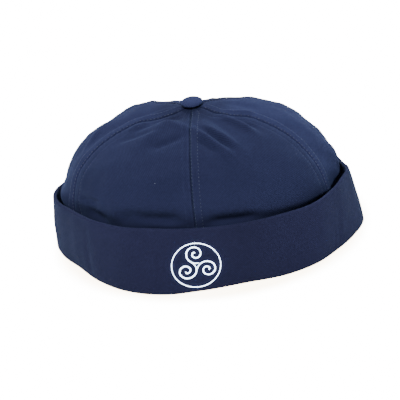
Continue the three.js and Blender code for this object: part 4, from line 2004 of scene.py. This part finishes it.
@dataclass(frozen=True)
class Studio:
    """The plain white floor, the pale surroundings and the soft lights."""

    floor_size: float = 6.0
    floor_gap: float = 0.0002
    # A painted shadow on the floor round the cap: its half widths, where it fades out, and its warm
    # dark colour
    shade_width: float = 0.103
    shade_depth: float = 0.09
    shade_fade: float = 1.14
    shade: tuple[float, float, float] = (0.62, 0.53, 0.4)
    floor: tuple[float, float, float] = (0.93, 0.93, 0.92)
    floor_roughness: float = 0.9
    air: tuple[float, float, float] = (0.96, 0.98, 1.0)
    sky: float = 0.5
    seen_white: float = 15.0
    # Each light's name, azimuth, elevation, distance in metres, size, power and colour
    lights: tuple[SoftLight, ...] = (
        SoftLight("key_light", 357.0, 58.0, 1.6, 0.5, 27.0),
        SoftLight("back_light", 184.0, 50.0, 1.6, 0.4, 20.0),
        SoftLight("back_right_light", 134.0, 34.0, 1.5, 0.7, 6.5, (0.55, 0.76, 1.0)),
        SoftLight("back_left_light", 236.0, 36.0, 1.5, 0.8, 2.0, (0.6, 0.78, 1.0)),
    )

    def seen(self, graph: Graph, unseen: float) -> bpy.types.NodeSocket:
        """Gives the white that the camera sees, as bright as in an overexposed backdrop.

        Args:
            graph: The graph that uses it.
            unseen: The strength that lights the cap.

        Returns:
            The strength's socket.
        """
        to_camera = graph.node("ShaderNodeLightPath").outputs["Is Camera Ray"]
        return graph.math("MULTIPLY_ADD", to_camera, self.seen_white - unseen, unseen)

    def floor_painted_shadow(self, graph: Graph) -> bpy.types.NodeSocket:
        """Gives the floor's white, with a painted shadow that is a little darker and warmer close
        round the cap.

        Args:
            graph: The floor material's graph.

        Returns:
            The colour's socket.
        """
        place = graph.node("ShaderNodeTexCoord").outputs["Object"]
        parts = graph.node("ShaderNodeSeparateXYZ", Vector=place).outputs
        across, deep = (
            graph.math("POWER", graph.math("DIVIDE", part, half), 2.0)
            for part, half in ((parts[0], self.shade_width), (parts[1], self.shade_depth))
        )
        spread = graph.math("SQRT", graph.math("ADD", across, deep))
        fade = graph.ramp(spread, 1.0, self.shade_fade)
        return graph.mix(fade, rgba(self.shade), rgba((1.0, 1.0, 1.0)))

    def build_floor(self) -> None:
        """Makes the floor, which is no piece of the cap."""
        bm = bmesh.new()
        bmesh.ops.create_grid(bm, x_segments=1, y_segments=1, size=self.floor_size / 2.0)
        mesh = bpy.data.meshes.new("floor")
        bm.to_mesh(mesh)
        bm.free()
        mesh.transform(Matrix.Translation((0.0, 0.0, -self.floor_gap)))
        white, graph, shader = new_material("floor_white")
        shader.inputs["Base Color"].default_value = rgba(self.floor)
        shader.inputs["Roughness"].default_value = self.floor_roughness
        graph.feed(shader.inputs["Emission Color"], self.floor_painted_shadow(graph))
        graph.feed(shader.inputs["Emission Strength"], self.seen(graph, 0.0))
        mesh.materials.append(white)
        floor = add_object("floor", mesh)

    def build(self) -> None:
        """Makes the floor, the surroundings and the lights."""
        self.build_floor()
        world = bpy.data.worlds.new("studio_white")
        world.use_nodes = True
        graph = Graph(world.node_tree)
        background = world.node_tree.nodes["Background"]
        background.inputs["Color"].default_value = rgba(self.air)
        graph.feed(background.inputs["Strength"], self.seen(graph, self.sky))
        bpy.context.scene.world = world
        for light in self.lights:
            light.build()


def main() -> None:
    """Builds the dressed cap and its studio, and reports each piece."""
    logging.basicConfig(level=logging.INFO, format="%(message)s")
    Viewpoint().build()
    groups = {
        tree.name: tree for tree in (twill_group(), mottle_group(), lint_group(), wear_group())
    }
    crown_twill = CROWN_TWILL.build(groups)
    cuff_twill = CUFF_TWILL.build(groups)
    navy_thread = NAVY_THREAD.build(groups)
    white_thread = WHITE_THREAD.build(groups)
    crown = Crown()
    crown.build(crown_twill)
    Topstitching(crown).build(navy_thread)
    cuff = Cuff()
    cuff.build(cuff_twill)
    CoveredButton().build(crown_twill)
    Embroidery(cuff).build(white_thread)
    Studio().build()


if __name__ == "__main__":
    main()
